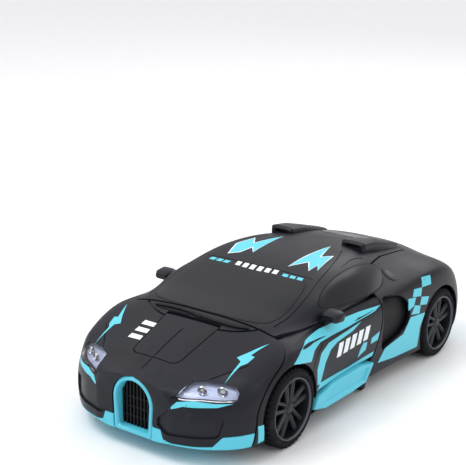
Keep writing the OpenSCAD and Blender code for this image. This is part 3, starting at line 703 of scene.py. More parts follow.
def tail_lamp_bores(radius, start, hands=(1, -1)):
    """Two round lamps a side, as prisms along Y."""
    return [prism(circle((x * h, 37 - x / 8), radius, 40), 1, start, END_OUT)
            for x in (22, 34) for h in hands]


def front_cutters():
    """What the hood leaves out for its neighbours."""
    cutters = side_prisms(grown(DOOR_SIDE, GAP), 46 - GAP, SIDE_OUT)
    cutters += [prism(grown(HATCH_PLAN, HATCH_GAP), 2, 36, 70), grille_cutter()]
    cutters += [light_cutter(o, INSERT_GAP) for o in both_sides(LIGHT)]
    cutters += [lip_prism(o) for o in both_sides(LIP_EDGE + [(62, BELOW), (0, BELOW)])]
    return cutters + arches(FRONT_Y, ARCH_R + 1.5) + [box((-44, -101, BELOW), (44, -60, 40))]


def make_hood():
    grooves = []
    for _, sign in HANDS:
        grooves.append(groove(across(CREASE, sign), 0.55))
        grooves.append(groove(across(COWL_LINE, sign), 1.1, 0.8))
        grooves.append(recess(across(HOOD_INTAKE, sign), 1, -1, 1.1))
    grooves.append(groove([(0, -119), (0, -115), (0, -110.8)], 0.6, 0.35))
    region = box((-SIDE_OUT, -END_OUT, BELOW), (SIDE_OUT, COWL_Y - 0.2, 80))
    hood = panel("hood", region, *front_cutters(), *grooves)
    hinge_relief = box((-17, -80.3, 40), (17, -77.4, 60))
    boolean(hood, "DIFFERENCE", hinge_relief)
    place(fair(hood), "body_black", "hood_shell", "hood_shell")


def make_lip():
    lowered = [(x, z - GAP) for x, z in LIP_EDGE[1:]]
    region = lip_prism([(-62, BELOW), (62, BELOW)] + lowered[::-1] + across(lowered, -1))
    cutters = side_prisms(grown(DOOR_SIDE, GAP), 30, SIDE_OUT)
    cutters += [grille_cutter(), box((-SIDE_OUT, -101, BELOW), (SIDE_OUT, 0, 40))]
    lip = panel("front_lip_panel", region, *cutters)
    place(fair(lip), "cyan_plastic", "front_lip", "front_lip")


def make_hatch():
    centre = groove([(0, -110), (0, -98), (0, -87)], 0.7, 0.4)
    hatch = panel("hatch", prism(grown(HATCH_PLAN, -0.1), 2, 36, 70), centre)
    place(fair(hatch), "body_black", "hatch_panel", "hatch_panel")
    end = [(0, -18.8), (0.5, -18.8), (0.5, -16.7), (1, -16.7)]
    rod = turned("hatch_rod", end + [(r, -x) for r, x in end[::-1]], 24)
    place(soften(moved(rod, HINGE)), "body_black", "hatch_panel")


def make_door():
    region = prism(grown(DOOR_SIDE, -GAP), 0, 46, SIDE_OUT)
    inset = prism(DOOR_PLAN, 2, -10, 60)
    cuts = arches(FRONT_Y, ARCH_R, (1,)) + [prism(grown(SILL, 0.1), 0, 51, SIDE_OUT)]
    cuts += [groove(path, 0.5, 0.4, 2, axis=0) for path in DOOR_GROOVES]
    door = panel("door_left", boolean(region, "INTERSECT", inset), *cuts)
    place_pair(door, "body_black", "door_shell_{}", fair, "door_shell_{}")


def make_rear():
    region = prism(grown(REAR_SIDE, -GAP), 0, -SIDE_OUT, SIDE_OUT)
    cutters = [prism(grown(ROOF_PLAN, GAP), 2, 40, 90)] + arches(REAR_Y, ARCH_R)
    cutters.append(box((-38, -20, BELOW), (38, 109, 32)))
    cutters.append(box((-SIDE_OUT, 104, BELOW), (SIDE_OUT, END_OUT, 22)))
    for hand, sign in HANDS:
        cutters += tail_lamp_bores(5.2, 100, (sign,))
        cutters.append(recess(cut_corners(REAR_INTAKE, 2, True), 0, sign, 3.0))
        liner = slab(f"intake_liner_{hand}", grown(REAR_INTAKE, 1.2), 0, sign, -4.2, -3.0)
        place(soften(liner), "dark_plastic", "rear_shell")
    rear = panel("rear_body", region, *cutters)
    place(fair(rear), "body_black", "rear_shell", "rear_shell")


def make_rear_trim():
    region = box((-SIDE_OUT, 104 + SEAM, BELOW), (SIDE_OUT, END_OUT, 22 - GAP))
    place(fair(panel("rear_bumper", region)), "cyan_plastic", "rear_trim", "rear_trim")
    tongue = panel("rear_bumper_tongue", box((-35, 104, BELOW), (35, 104 + 2 * SEAM, 20)))
    place(fair(tongue), "cyan_plastic", "rear_trim")
    bores = join("cutter", tail_lamp_bores(5.05, 108))
    lenses = boolean(copy_of(outer, "tail_lamp_lenses"), "INTERSECT", bores)
    place(fair(lenses), "lamp_red", "tail_lamps", "tail_lamps")


def make_roof():
    cuts = []
    for _, sign in HANDS:
        cuts.append(groove(across(PILLAR, sign), 0.6, 0.5, 2))
        cuts.append(groove(across(DECK, sign), 0.5, 0.45, 2))
    cuts.append(groove([(-34.5, -23), (-18, -22.2), (0, -22), (18, -22.2), (34.5, -23)], 0.5, 0.4, 2))
    region = prism(grown(ROOF_PLAN, -GAP), 2, 46, 90)
    place(fair(panel("roof", region, *cuts)), "body_black", "roof_shell", "roof_shell")


# ---------------------------------------------------------------- glass and printed marks
SEEN_FROM = {1: -1, 2: 1}


def applied(name, outline, axis, side, look, node, height=0.06):
    """Thin piece that follows the body: glass or a printed mark."""
    return place(fair(slab(name, outline, axis, side, -0.25, height), 0.9), look, node)


def applied_pair(name, outline, look, node, axis=0, height=0.06, smooth=0):
    """The same piece on both sides, drawn for the left: axis 0 from the side, 1 front, 2 plan."""
    shape = cut_corners(outline, smooth, True) if smooth else outline
    for hand, sign in HANDS:
        drawn = across(shape, sign) if axis else shape
        applied(f"{name}_{hand}", drawn, axis, SEEN_FROM.get(axis, sign), look, node.format(hand), height)


def applied_top(name, outline, look, node, height=0.06):
    """One piece drawn in plan."""
    return applied(name, outline, 2, 1, look, node, height)


def distinct(points):
    """The outline without repeated points."""
    return [p for k, p in enumerate(points) if math.dist(p, points[k - 1]) > 1e-6]


def make_glass():
    half = [(0, -70.6), (22, -70.2), (36, -67), (38.6, -56), (37.6, -42), (33.6, -25.6), (18, -24.8)]
    screen = distinct(cut_corners(mirrored(half), 1, True))
    applied_top("windscreen", screen, "window_black", "roof_shell", 0.14)
    # Dark band round the windscreen: painted shade of the groove round the glass.
    applied_top("windscreen_groove_shade", grown(screen, 0.45), "dark_plastic", "roof_shell", 0.08)
    side = [(-36, 58), (-30.3, 62.1), (-15.1, 66.1), (0.9, 67.4), (17.7, 66.4), (31, 63.2), (33.4, 60.4),
            (26, 55.4), (13, 53.8), (-17, 54.6)]
    applied_pair("side_window", side, "window_black", "roof_shell", height=0.14, smooth=2)
    # Dark bands round the side windows: painted shade of the groove round the glass.
    applied_pair("side_window_groove_shade", grown(side, 0.5), "dark_plastic", "roof_shell", height=0.08, smooth=2)
    back = mirrored([(0, 58), (14, 58), (15.5, 72), (0, 73)])
    applied_top("rear_window", cut_corners(back, 1, True), "window_black", "roof_shell", 0.14)


SWOOSH_UPPER = [(-74.7, 43), (-66.3, 46.7), (-57.7, 48.9), (-43.1, 50.1), (-25.5, 49.9), (-6.1, 49.4),
                (12.4, 48.3), (5.7, 46.6), (-19.9, 45.5), (-35.4, 45.4), (-46.9, 45.2), (-53.4, 43.2),
                (-57.9, 38.9)]
SWOOSH_LOWER = [(-51.5, 24.3), (-51.9, 32.5), (-47.6, 39.7), (-39.6, 42.8), (-20.5, 44), (-7.6, 45),
                (-16.6, 42.3), (-31.6, 40.9), (-38.1, 38.9), (-43.5, 33.7), (-48.6, 23.8)]
REAR_PANEL = [(11.5, 15.4), (17.8, 22), (35.9, 25.1), (42.6, 33.1), (57.8, 31.9), (53.3, 24.5), (52.2, 12.6),
              (27.8, 13.5)]
CHECKERS = {
    "a": [(56.3, 52.5), (65.4, 51.9), (64.4, 46.9), (54.8, 47.4)],
    "b": [(46.5, 48.3), (54.8, 47.4), (53.2, 42.8), (44.4, 44.3)],
    "c": [(53.9, 42.2), (61.8, 40.5), (59.3, 36.4), (52.2, 37.7)],
    "d": [(39.8, 44.5), (47.9, 43.4), (45.8, 38.9), (40.2, 37.6)],
    "f": [(46.8, 39), (52.9, 37.3), (51.8, 32.9), (43.2, 34.5)],
}
ARCH_CORNER = [(-100.4, 19.6), (-97, 19.3), (-95.8, 10.7), (-99.4, 10)]
SILL_BAND = [(-51.5, 21.3), (4.8, 21.7), (6.2, 24), (-20, 23.2), (-48.4, 24.4)]
SIDE_BARS = [(-31, -26.6), (-24.4, -20), (-17.8, -13.4), (-11.2, -6.8), (-4.6, -0.2)]
SMALL_MARKS = {
    "front": [(-8.1, 29.4), (-5.2, 32.2), (-1.3, 31.6), (-2.4, 27.6), (-10.3, 25.5)],
    "rear": [(2.3, 29.3), (3, 32.5), (11, 34), (9.4, 29.6)],
}
HOOD_BOLT = [(41.1, -107.5), (41.8, -95.9), (43.9, -92.8), (44.7, -88.1), (42.4, -88.1), (45.6, -77.3),
             (40.4, -87), (37.1, -92.2), (40.3, -93.4)]
EYEBROW = [(22.4, 28), (26.1, 32.2), (33, 33.3), (41.5, 32.5), (48.5, 32.3), (43.3, 30.8), (33.9, 30.4),
           (29.2, 30.4), (26.4, 29.3)]
ROOF_BOLTS = {
    "left": [(14.8, -15.7), (15.1, 0.6), (15.8, 23.5), (21.8, 2.8), (26.4, 8.4), (31.1, -13.1),
             (27.4, -6.8), (27.1, -15.2), (21, -5.7)],
    "right": [(-24.5, -16.3), (-28.8, -3.1), (-26.5, 10.2), (-21.2, 1.6), (-15.6, 22.8), (-13.4, -9.2),
              (-17.9, -3), (-20, -12.6)],
}


def slanted_bar(start, end, low, high, lean):
    return [(start - lean, low), (end - lean, low), (end + lean, high), (start + lean, high)]


def door_mark(name, outline, look="cyan_print"):
    applied_pair(name, outline, look, "door_shell_{}")


def make_side_marks():
    door_mark("swoosh_upper", SWOOSH_UPPER)
    door_mark("swoosh_lower", SWOOSH_LOWER)
    for k, (start, end) in enumerate(SIDE_BARS):
        bar = slanted_bar(start, end, 32.4 + 0.2 * k, 39.6 + 0.25 * k, 1.3)
        door_mark(f"side_bar_{k}", bar, "pale_print")
    door_mark("sill_band", SILL_BAND)
    for name, outline in SMALL_MARKS.items():
        door_mark(f"side_mark_{name}", outline)
    applied_pair("rear_side_panel", REAR_PANEL, "cyan_print", "rear_shell", height=0.08)
    door_mark("arch_corner", ARCH_CORNER)
    for name, outline in CHECKERS.items():
        applied_pair(f"checker_{name}", outline, "cyan_print", "rear_shell")


def make_top_marks():
    applied_pair("hood_bolt", HOOD_BOLT, "cyan_print", "hood_shell", 2)
    applied_pair("eyebrow", EYEBROW, "cyan_print", "hood_shell", 1)
    for name, outline in ROOF_BOLTS.items():
        applied_top(f"roof_bolt_border_{name}", grown(outline, 0.7), "pale_print", "roof_shell", 0.05)
        applied_top(f"roof_bolt_{name}", outline, "cyan_print", "roof_shell", 0.1)
    for k in range(6):
        x = 12.5 - 4.8 * k
        front = -27.6 + abs(x) / 14
        bar = [(x - 1.4, front), (x + 1.6, front), (x + 0.8, -22.8), (x - 2.2, -22.8)]
        applied_top(f"roof_bar_{k}", bar, "pale_print", "roof_shell", 0.2)
    for name, sign in HANDS:
        for k in range(3):
            x = 17.8 + 4.6 * k
            dash = [(x, -27), (x + 3.4, -27), (x + 2.8, -24.4), (x - 0.6, -24.4)]
            applied_top(f"roof_dash_{name}_{k}", across(dash, sign), "cyan_print", "roof_shell", 0.2)
    for k in range(3):
        y = -100.5 + 5.2 * k
        mark = [(-24.8, y), (-15.9, y - 1.1), (-16.2, y + 1.9), (-24.5, y + 3)]
        applied_top(f"hood_mark_{k}", mark, "pale_print", "hood_shell")


# ---------------------------------------------------------------- lights, grille, sill, scoops, mirrors and small parts
def make_lamp(name, place_mm, size, sign):
    """Steel cup with a bulb in it, facing forwards and outwards."""
    wall = [(size, 0.0), (size + 0.8, 1.1), (size + 1.2, 0.6), (size + 0.6, -0.6)]
    cup = turned(f"lamp_cup_{name}", wall, 40)
    dome = [(0.0, 1.0), (size * 0.5, 0.8), (size * 0.85, 0.3), (size, -0.4), (0.0, -0.4)]
    bulb = turned(f"lamp_bulb_{name}", dome, 40)
    x, y, z = place_mm
    turn = Matrix.Rotation(math.radians(-90 + 22 * sign), 4, "Z")
    facing = Matrix.Translation((x * sign, y, z)) @ turn
    place(soften(moved(cup, facing)), "steel", "headlight_reflectors")
    place(soften(moved(bulb, facing)), "lamp_white", "led_lamps", "led_lamps")


def make_lights():
    for (hand, sign), outline in zip(HANDS, both_sides(LIGHT)):
        lens = boolean(copy_of(outer, f"headlight_lens_{hand}"), "INTERSECT", light_cutter(outline, 0))
        boolean(lens, "DIFFERENCE", body_solid("cutter", 0.8))
        place(fair(lens), "lens", "headlight_lenses", "headlight_lenses")
        bowl = boolean(body_solid(f"headlight_bowl_{hand}", 2.2), "INTERSECT", light_cutter(outline, 0.6))
        boolean(bowl, "DIFFERENCE", body_solid("cutter", 3.4))
        place(soften(bowl), "reflector", "headlight_reflectors", "headlight_reflectors")
    for hand, sign in HANDS:
        for k, (place_mm, size) in enumerate(BULB_PLACES):
            make_lamp(f"{hand}_{k}", place_mm, size, sign)


def make_grille():
    ring_piece = plate("grille_ring_shaped", grille_outline(GRILLE_R), 1, -119, -HALF_LENGTH, 0.9)
    hole = prism(grille_outline(GRILLE_R - 2.6), 1, -130, -110)
    chamfer = layers("cutter", 1, [(grille_outline(GRILLE_R - 1.6), -126.6),
                                   (grille_outline(GRILLE_R - 2.7), -124.8)])
    boolean(ring_piece, "DIFFERENCE", hole, chamfer)
    place(soften(ring_piece), "cyan_plastic", "grille_ring", "grille_ring")
    bars = [prism(grille_outline(GRILLE_R - 2.5), 1, -121.0, -119, "grille_back")]
    arch_z, arch_r = GRILLE_HIGH - GRILLE_R, GRILLE_R - 2.8
    for k in range(-4, 5):
        x = 2.2 * k
        top = arch_z + math.sqrt(arch_r ** 2 - (abs(x) + 0.5) ** 2)
        bars.append(box((x - 0.45, -122.2, 11.4), (x + 0.45, -120.8, top), "bar"))
    for z in (16, 21, 26):
        bars.append(box((-9.3, -121.9, z - 0.4), (9.3, -120.8, z + 0.4), "bar"))
    place(soften(join("grille_mesh", bars)), "dark_plastic", "grille_panel", "grille_panel")


def make_sill():
    outer_plate = plate("sill_left", cut_corners(SILL, 1, True), 0, 51.2, 58.9, 0.6)
    hollow = [(-46, 12.4), (-43, 18.2), (-2.6, 18.6), (-6.4, 12.4)]
    floor_piece = layers("cutter", 0, [(grown(hollow, -0.5), 57.8), (grown(hollow, 0.5), 59.4)])
    boolean(outer_plate, "DIFFERENCE", floor_piece)
    place_pair(outer_plate, "cyan_plastic", "door_sill_{}", soften, "door_sill_{}")


def ellipsoid_points(centre, size, steps):
    """Points on an upright ellipsoid, without its poles."""
    points = []
    for i in range(1, steps // 2):
        for j in range(steps):
            u, v = math.pi * i / (steps // 2), 2 * math.pi * j / steps
            x = size[0] * math.sin(u) * math.cos(v)
            y = size[1] * math.sin(u) * math.sin(v)
            points.append((centre[0] + x, centre[1] + y, centre[2] + size[2] * math.cos(u)))
    return points


def hull(name, points):
    """Convex hull of points."""
    bm = bmesh.new()
    for p in points:
        bm.verts.new(p)
    made = bmesh.ops.convex_hull(bm, input=bm.verts)
    inside = made["geom_interior"] + made["geom_unused"]
    spare = {v for v in inside if isinstance(v, bmesh.types.BMVert)}
    bmesh.ops.delete(bm, geom=list(spare), context="VERTS")
    bmesh.ops.recalc_face_normals(bm, faces=bm.faces)
    mesh = bpy.data.meshes.new(name)
    bm.to_mesh(mesh)
    bm.free()
    return linked(name, mesh)


# Roof scoop from front to back: y, half width, top and low.
SCOOP_X = 24.0
SCOOP_SECTIONS = [(33, 6.4, 71.8, 66), (34.6, 7.7, 73.1, 66), (46, 7.6, 71.6, 64), (60, 6.8, 67.8, 60),
                  (75.4, 5.4, 63.4, 56)]


def scoop_hull(name):
    """Boxy front block that tapers back into the rear shell."""
    points = []
    for y, half, top, low in SCOOP_SECTIONS:
        ring_points = superellipse((SCOOP_X, (top + low) / 2), half, (top - low) / 2, 4.5, 32)
        points += [(x, y, z) for x, z in ring_points]
    return hull(name, points)


def scoop_top(y):
    """Height of the scoop's top at y."""
    for (y0, _, top0, _), (y1, _, top1, _) in zip(SCOOP_SECTIONS, SCOOP_SECTIONS[1:]):
        if y <= y1:
            return top0 + (top1 - top0) * (y - y0) / (y1 - y0)
    return SCOOP_SECTIONS[-1][2]


def make_scoops():
    scoop = scoop_hull("roof_scoop_left")
    mouth = layers("cutter", 1, [(superellipse((SCOOP_X, 70.4), 4.9, 1.2, 3.0), 24),
                                 (superellipse((SCOOP_X, 70.4), 4.5, 0.9, 3.0), 35.4)])
    boolean(scoop, "DIFFERENCE", mouth)
    for k in range(5):
        y = 50 + 5 * k
        top = scoop_top(y)
        boolean(scoop, "DIFFERENCE", box((SCOOP_X - 9, y, top - 0.8), (SCOOP_X + 9, y + 1.5, top + 6)))
    boolean(scoop, "DIFFERENCE", copy_of(outer, "cutter"))
    place_pair(scoop, "body_black", "roof_scoops", soften, "roof_scoops")


def superellipse(centre, half_x, half_z, power=3.0, steps=40):
    out = []
    for k in range(steps):
        a = 2 * math.pi * k / steps
        c, s = math.cos(a), math.sin(a)
        out.append((centre[0] + half_x * math.copysign(abs(c) ** (2 / power), c),
                    centre[1] + half_z * math.copysign(abs(s) ** (2 / power), s)))
    return out


def mirror_ring(y, half_x, half_z):
    return [(x, y, z) for x, z in superellipse((54.4, 55.2), half_x, half_z, 3.2, 32)]


def make_mirrors():
    sections = ((-39.5, 3.4, 1.6), (-37, 5.2, 2.7), (-32, 5.6, 3.2), (-31, 5.2, 2.8))
    pod = hull("mirror_left", [p for section in sections for p in mirror_ring(*section)])
    glass = hull("cutter", mirror_ring(-31.6, 4.6, 2.2) + mirror_ring(-28, 4.6, 2.2))
    boolean(pod, "DIFFERENCE", glass)
    place_pair(pod, "body_black", "door_shell_{}", lambda o: soften(o, 40))
    arm = ((48.5, 51.2), (48.5, 53), (53, 53.4), (53, 54.8))
    stalk = hull("mirror_stalk_left", [(x, y, z) for x, z in arm for y in (-39, -34)])
    place_pair(stalk, "body_black", "door_shell_{}", lambda o: soften(o, 40))


def make_small_parts():
    """Quarter caps, wipers and grilles at the cowl, and foot pegs under the doors."""
    cap = (36.5, 57.6)
    peg_outline = [(-2, 9.6), (8.6, 9.6), (5.6, 1.2), (2.4, 1.2)]
    for hand, sign in HANDS:
        oval = superellipse(cap, 3.4, 2.6, 2.0, 32)
        applied(f"quarter_cap_{hand}", oval, 0, sign, "body_black", "rear_shell", 0.35)
        inner_oval = superellipse(cap, 2.2, 1.6, 2.0, 32)
        applied(f"quarter_cap_centre_{hand}", inner_oval, 0, sign, "window_black", "rear_shell", 0.5)
        peg = plate(f"foot_peg_{hand}", peg_outline, 0, 44 * sign, 52 * sign, 0.5)
        place(soften(peg), "dark_plastic", "support_feet")
    wipers = ([(-28, -74.6), (-16, -74.4), (-3, -75.2), (3, -76.6)],
              [(0.6, -75.6), (14, -76.6), (24, -75.8), (30.7, -73.6)])
    for k, (wiper, slot) in enumerate(zip(wipers, COWL_SLOT)):
        blade = slab(f"wiper_{k}", ribbon(cut_corners(wiper, 2), 1.3, 0.7), 2, 1, -0.2, 0.8)
        place(soften(blade), "dark_plastic", "hood_shell")
        strip = slab(f"cowl_grille_{k}", ribbon(cut_corners(slot), 1.2, 0.6), 2, 1, -0.2, 0.25)
        place(soften(strip), "dark_plastic", "hood_shell")


# ---------------------------------------------------------------- wheels
LUGS = 40
SPOKES = 5


def make_tyre(name, w):
    """Tyre of width w with three rows of lugs."""
    base = TYRE_R - 0.55
    profile = [(RIM_R, 0.6), (RIM_R + 0.7, 0.1), (TYRE_R - 2.2, 0.0), (TYRE_R - 1.2, 0.7), (base, 2.2),
               (base, w - 2.2), (TYRE_R - 1.2, w - 0.7), (TYRE_R - 2.0, w - 0.15), (RIM_R + 1.2, w - 0.05),
               (RIM_R + 0.6, w - 0.3), (RIM_R, w - 0.6)]
    parts = [turned("tyre", profile, 96)]
    for k in range(LUGS):
        for low, high, shift in ((1.3, 6.6, 0.0), (7.4, 10.6, 0.5), (11.4, w - 1.3, 0.0)):
            lug = box((low, -1.05, base - 0.5), (high, 1.05, TYRE_R - 0.02), "lug")
            parts.append(moved(lug, Matrix.Rotation(2 * math.pi * (k + shift) / LUGS, 4, "X")))
    return join(name, parts)


def wheel_parts(name):
    """Tyre, rim, and edges of rim and spokes, round the X axis with the outer side towards +X."""
    w = WHEEL_OUT - WHEEL_IN
    tyre = make_tyre(f"{name}_tyre_shaped", w)
    barrel = [(RIM_R - 1.5, 1.0), (RIM_R - 0.02, 1.0), (RIM_R - 0.02, w - 0.5), (RIM_R - 0.5, w + 0.0),
              (RIM_R - 1.1, w - 0.2), (RIM_R - 1.5, w - 1.2)]
    hub = [(0.0, w - 8), (4.0, w - 8), (4.0, w - 3.0), (3.2, w - 2.2), (2.2, w - 1.7), (0.0, w - 1.5)]
    rim = [turned("rim", barrel, 96), turned("hub", hub, 48)]
    edges = []
    shape = [(2.6, 0.7), (RIM_R - 1.0, 2.5), (RIM_R - 1.0, 3.9), (3.6, 2.1)]
    for k in range(SPOKES):
        for flip in (1, -1):
            outline = [(p[0], p[1] * flip) for p in shape]
            turn = Matrix.Rotation(math.radians(360 / SPOKES * k + 90), 4, "X")
            rim.append(moved(plate("spoke", outline, 0, w - 4.2, w - 1.7, 0.35), turn))
            edges.append(moved(plate("edge", grown(outline, 0.2), 0, w - 3.6, w - 2.15, 0.2), turn))
    lip = [(RIM_R - 1.35, w - 0.75), (RIM_R - 0.6, w - 0.75), (RIM_R - 0.6, w + 0.06),
           (RIM_R - 1.0, w + 0.02)]
    edges.append(turned("lip", lip, 96))
    return tyre, join(f"{name}_rim_shaped", rim), join(f"{name}_rim_edges", edges)


def make_wheels():
    for axle, y in (("front", FRONT_Y), ("rear", REAR_Y)):
        for hand, sign in HANDS:
            name = f"{axle}_{hand}"
            at = Matrix.Translation((WHEEL_IN * sign, y, AXLE_Z))
            if sign < 0:
                at = at @ Matrix.Rotation(math.pi, 4, "Z")
            tyre, rim, edges = [moved(part, at) for part in wheel_parts(name)]
            place(soften(tyre), "tyre_rubber", f"{axle}_tyre_{hand}", f"{axle}_tyre_{hand}")
            place(soften(rim), "rim_plastic", f"{axle}_rim_{hand}", f"{axle}_rim_{hand}")
            place(soften(edges), "rim_edge", f"{axle}_rim_{hand}")


# ---------------------------------------------------------------- robot: torso, legs and head
# Drawn upright, facing -Y: LEG lays the figure along the legs, HEAD puts the head on the hatch's hinge.
LEG_RUN = 135
LEG_RISE = 6
LEG_LEAN = math.asin(LEG_RISE / math.hypot(LEG_RUN, LEG_RISE))
LEG = Matrix.Translation((0, 61, 30)) @ Matrix.Rotation(math.radians(90) + LEG_LEAN, 4, "X")
HEAD = HINGE @ Matrix.Rotation(math.radians(108), 4, "X")


def set_pair(obj, frame_matrix, look, node, *replaced, bevel=0.0):
    """Bevels a piece drawn upright for the left, and sets it and its mirror image in place."""
    if bevel:
        round_edges(obj, bevel, 20)
    other = mirror_copy(obj, obj.name.replace("_left", "_right"))
    for piece in (obj, other):
        place(soften(moved(piece, frame_matrix), 28), look, node, *replaced)


def set_one(obj, frame_matrix, look, node, *replaced, bevel=0.0):
    """Bevels a piece drawn upright, and sets it in place."""
    if bevel:
        round_edges(obj, bevel, 20)
    place(soften(moved(obj, frame_matrix), 28), look, node, *replaced)


def make_ribs():
    """Three faceted plates a side, one above the other."""
    for k in range(3):
        z = 85.4 + 10.4 * k
        wide = 1.5 * k
        points = [(4.8, -15.6, z + 1), (4.8, -15.6, z + 8.6), (14, -16.8, z - 0.2), (15, -16.4, z + 7.6),
                  (25 + wide, -10, z + 3.4), (26 + wide, -9.6, z + 9.6), (23 + wide, -1, z + 4),
                  (24 + wide, -1, z + 9), (5, -8, z + 1), (5, -8, z + 8.6), (12, -2, z + 1), (12, -2, z + 8)]
        rib = hull(f"rib_plate_{k}_left", points)
        set_pair(rib, LEG, "cyan_plastic", "rib_armour", "rib_armour", bevel=0.7)
        line_points = [(8, -16.4, z + 3.4), (22 + wide, -12.4, z + 5.6), (22 + wide, -12.2, z + 6.6),
                       (8, -16.3, z + 4.6), (8, -14, z + 3.4), (22 + wide, -10, z + 5.6),
                       (22 + wide, -10, z + 6.6), (8, -14, z + 4.6)]
        ridge = hull(f"rib_line_{k}_left", line_points)
        set_pair(ridge, LEG, "cyan_plastic", "rib_armour", bevel=0.3)


def make_torso():
    spine_outline = [(-4.4, 84), (4.4, 84), (5.4, 96), (4.2, 116), (-4.2, 116), (-5.4, 96)]
    spine = plate("spine_panel", spine_outline, 1, -6, -16.4, 1)
    set_one(spine, LEG, "silver_plastic", "spine_cover", "spine_cover")
    for k in range(5):
        vent = box((-2.7, -17.3, 88 + 5.2 * k), (2.7, -16, 91 + 5.2 * k), f"spine_vent_{k}", 0.4)
        set_one(vent, LEG, "dark_plastic", "spine_cover")
    pelvis_half = [(4, 61), (8.5, 69), (13, 79.5), (9.6, 84), (0, 84.6)]
    pelvis = plate("pelvis_plate", mirrored(pelvis_half), 1, -8, -16, 1.6)
    set_one(pelvis, LEG, "silver_plastic", "pelvis_cover", "pelvis_cover", bevel=0.3)
    boss_outline = [(-3.4, 66), (3.4, 66), (5, 74), (2.6, 79), (-2.6, 79), (-5, 74)]
    boss = plate("pelvis_boss", boss_outline, 1, -15, -17.2, 0.8)
    set_one(boss, LEG, "silver_plastic", "pelvis_cover", bevel=0.2)
    waist = box((8.6, -12.5, 79), (20, -3, 84.4), "waist_block_left", 0.8)
    set_pair(waist, LEG, "dark_plastic", "pelvis_cover")


def make_thighs():
    plate_outline = [(5.4, 50), (14, 45.4), (25.4, 49), (28.8, 58), (27, 71), (20, 79), (13.6, 76.5), (9, 66)]
    thigh = plate("thigh_plate_left", plate_outline, 1, -3, -13.6, 1.6)
    set_pair(thigh, LEG, "silver_plastic", "thigh_armour", "thigh_armour", bevel=0.3)
    inset = [(11.6, 57), (14, 53.4), (22, 54.6), (25.2, 59), (24, 67), (20.4, 71.6), (14.6, 70), (12, 64)]
    shape = plate("thigh_inset_left", inset, 1, -13, -16, 1.0)
    hollow = layers("cutter", 1, [(grown(inset, -2.0), -17), (grown(inset, -2.8), -14.6)])
    boolean(shape, "DIFFERENCE", hollow)
    set_pair(shape, LEG, "cyan_plastic", "thigh_armour", bevel=0.2)


def make_shins():
    centre = [(9.4, 9), (19.6, 9), (20.6, 22), (19.4, 43), (10.4, 43), (8.8, 22)]
    shin = plate("shin_plate_left", centre, 1, -5, -13.4, 1.2)
    slot_outline = [(12.2, 15), (17, 15), (17, 34), (12.2, 34)]
    slot = layers("cutter", 1, [(grown(slot_outline, 0.6), -14.4), (slot_outline, -12.2)])
    boolean(shin, "DIFFERENCE", slot)
    set_pair(shin, LEG, "silver_plastic", "shin_covers", "shin_covers", bevel=0.2)
    for name, outline in (("outer", [(19.9, 9), (24, 13), (25.2, 27), (24, 41), (19.9, 44.5)]),
                          ("inner", [(4.8, 14), (9.1, 9), (9.1, 43.6), (6, 40)])):
        side_plate = plate(f"shin_{name}_left", outline, 1, 1, -11.6, 1.8)
        set_pair(side_plate, LEG, "cyan_plastic", "shin_sides", "shin_sides", bevel=0.2)
    ribs = [box((19, 1, 10 + 4.2 * k), (24.6, 4.2, 13 + 4.2 * k), "rib", 0.4) for k in range(8)]
    set_pair(join("calf_ribs_left", ribs), LEG, "dark_plastic", "leg_frame")
    disc = [(0, 0), (5.4, 0), (5.4, 1.6), (4.6, 2.4), (3.4, 2.4), (3.0, 1.4), (0, 1.4)]
    facing = Matrix.Translation((15, -10, 48)) @ Matrix.Rotation(math.radians(-90), 4, "Z")
    knee = moved(turned("knee_left", disc, 40), facing)
    set_pair(knee, LEG, "dark_plastic", "knee_discs")


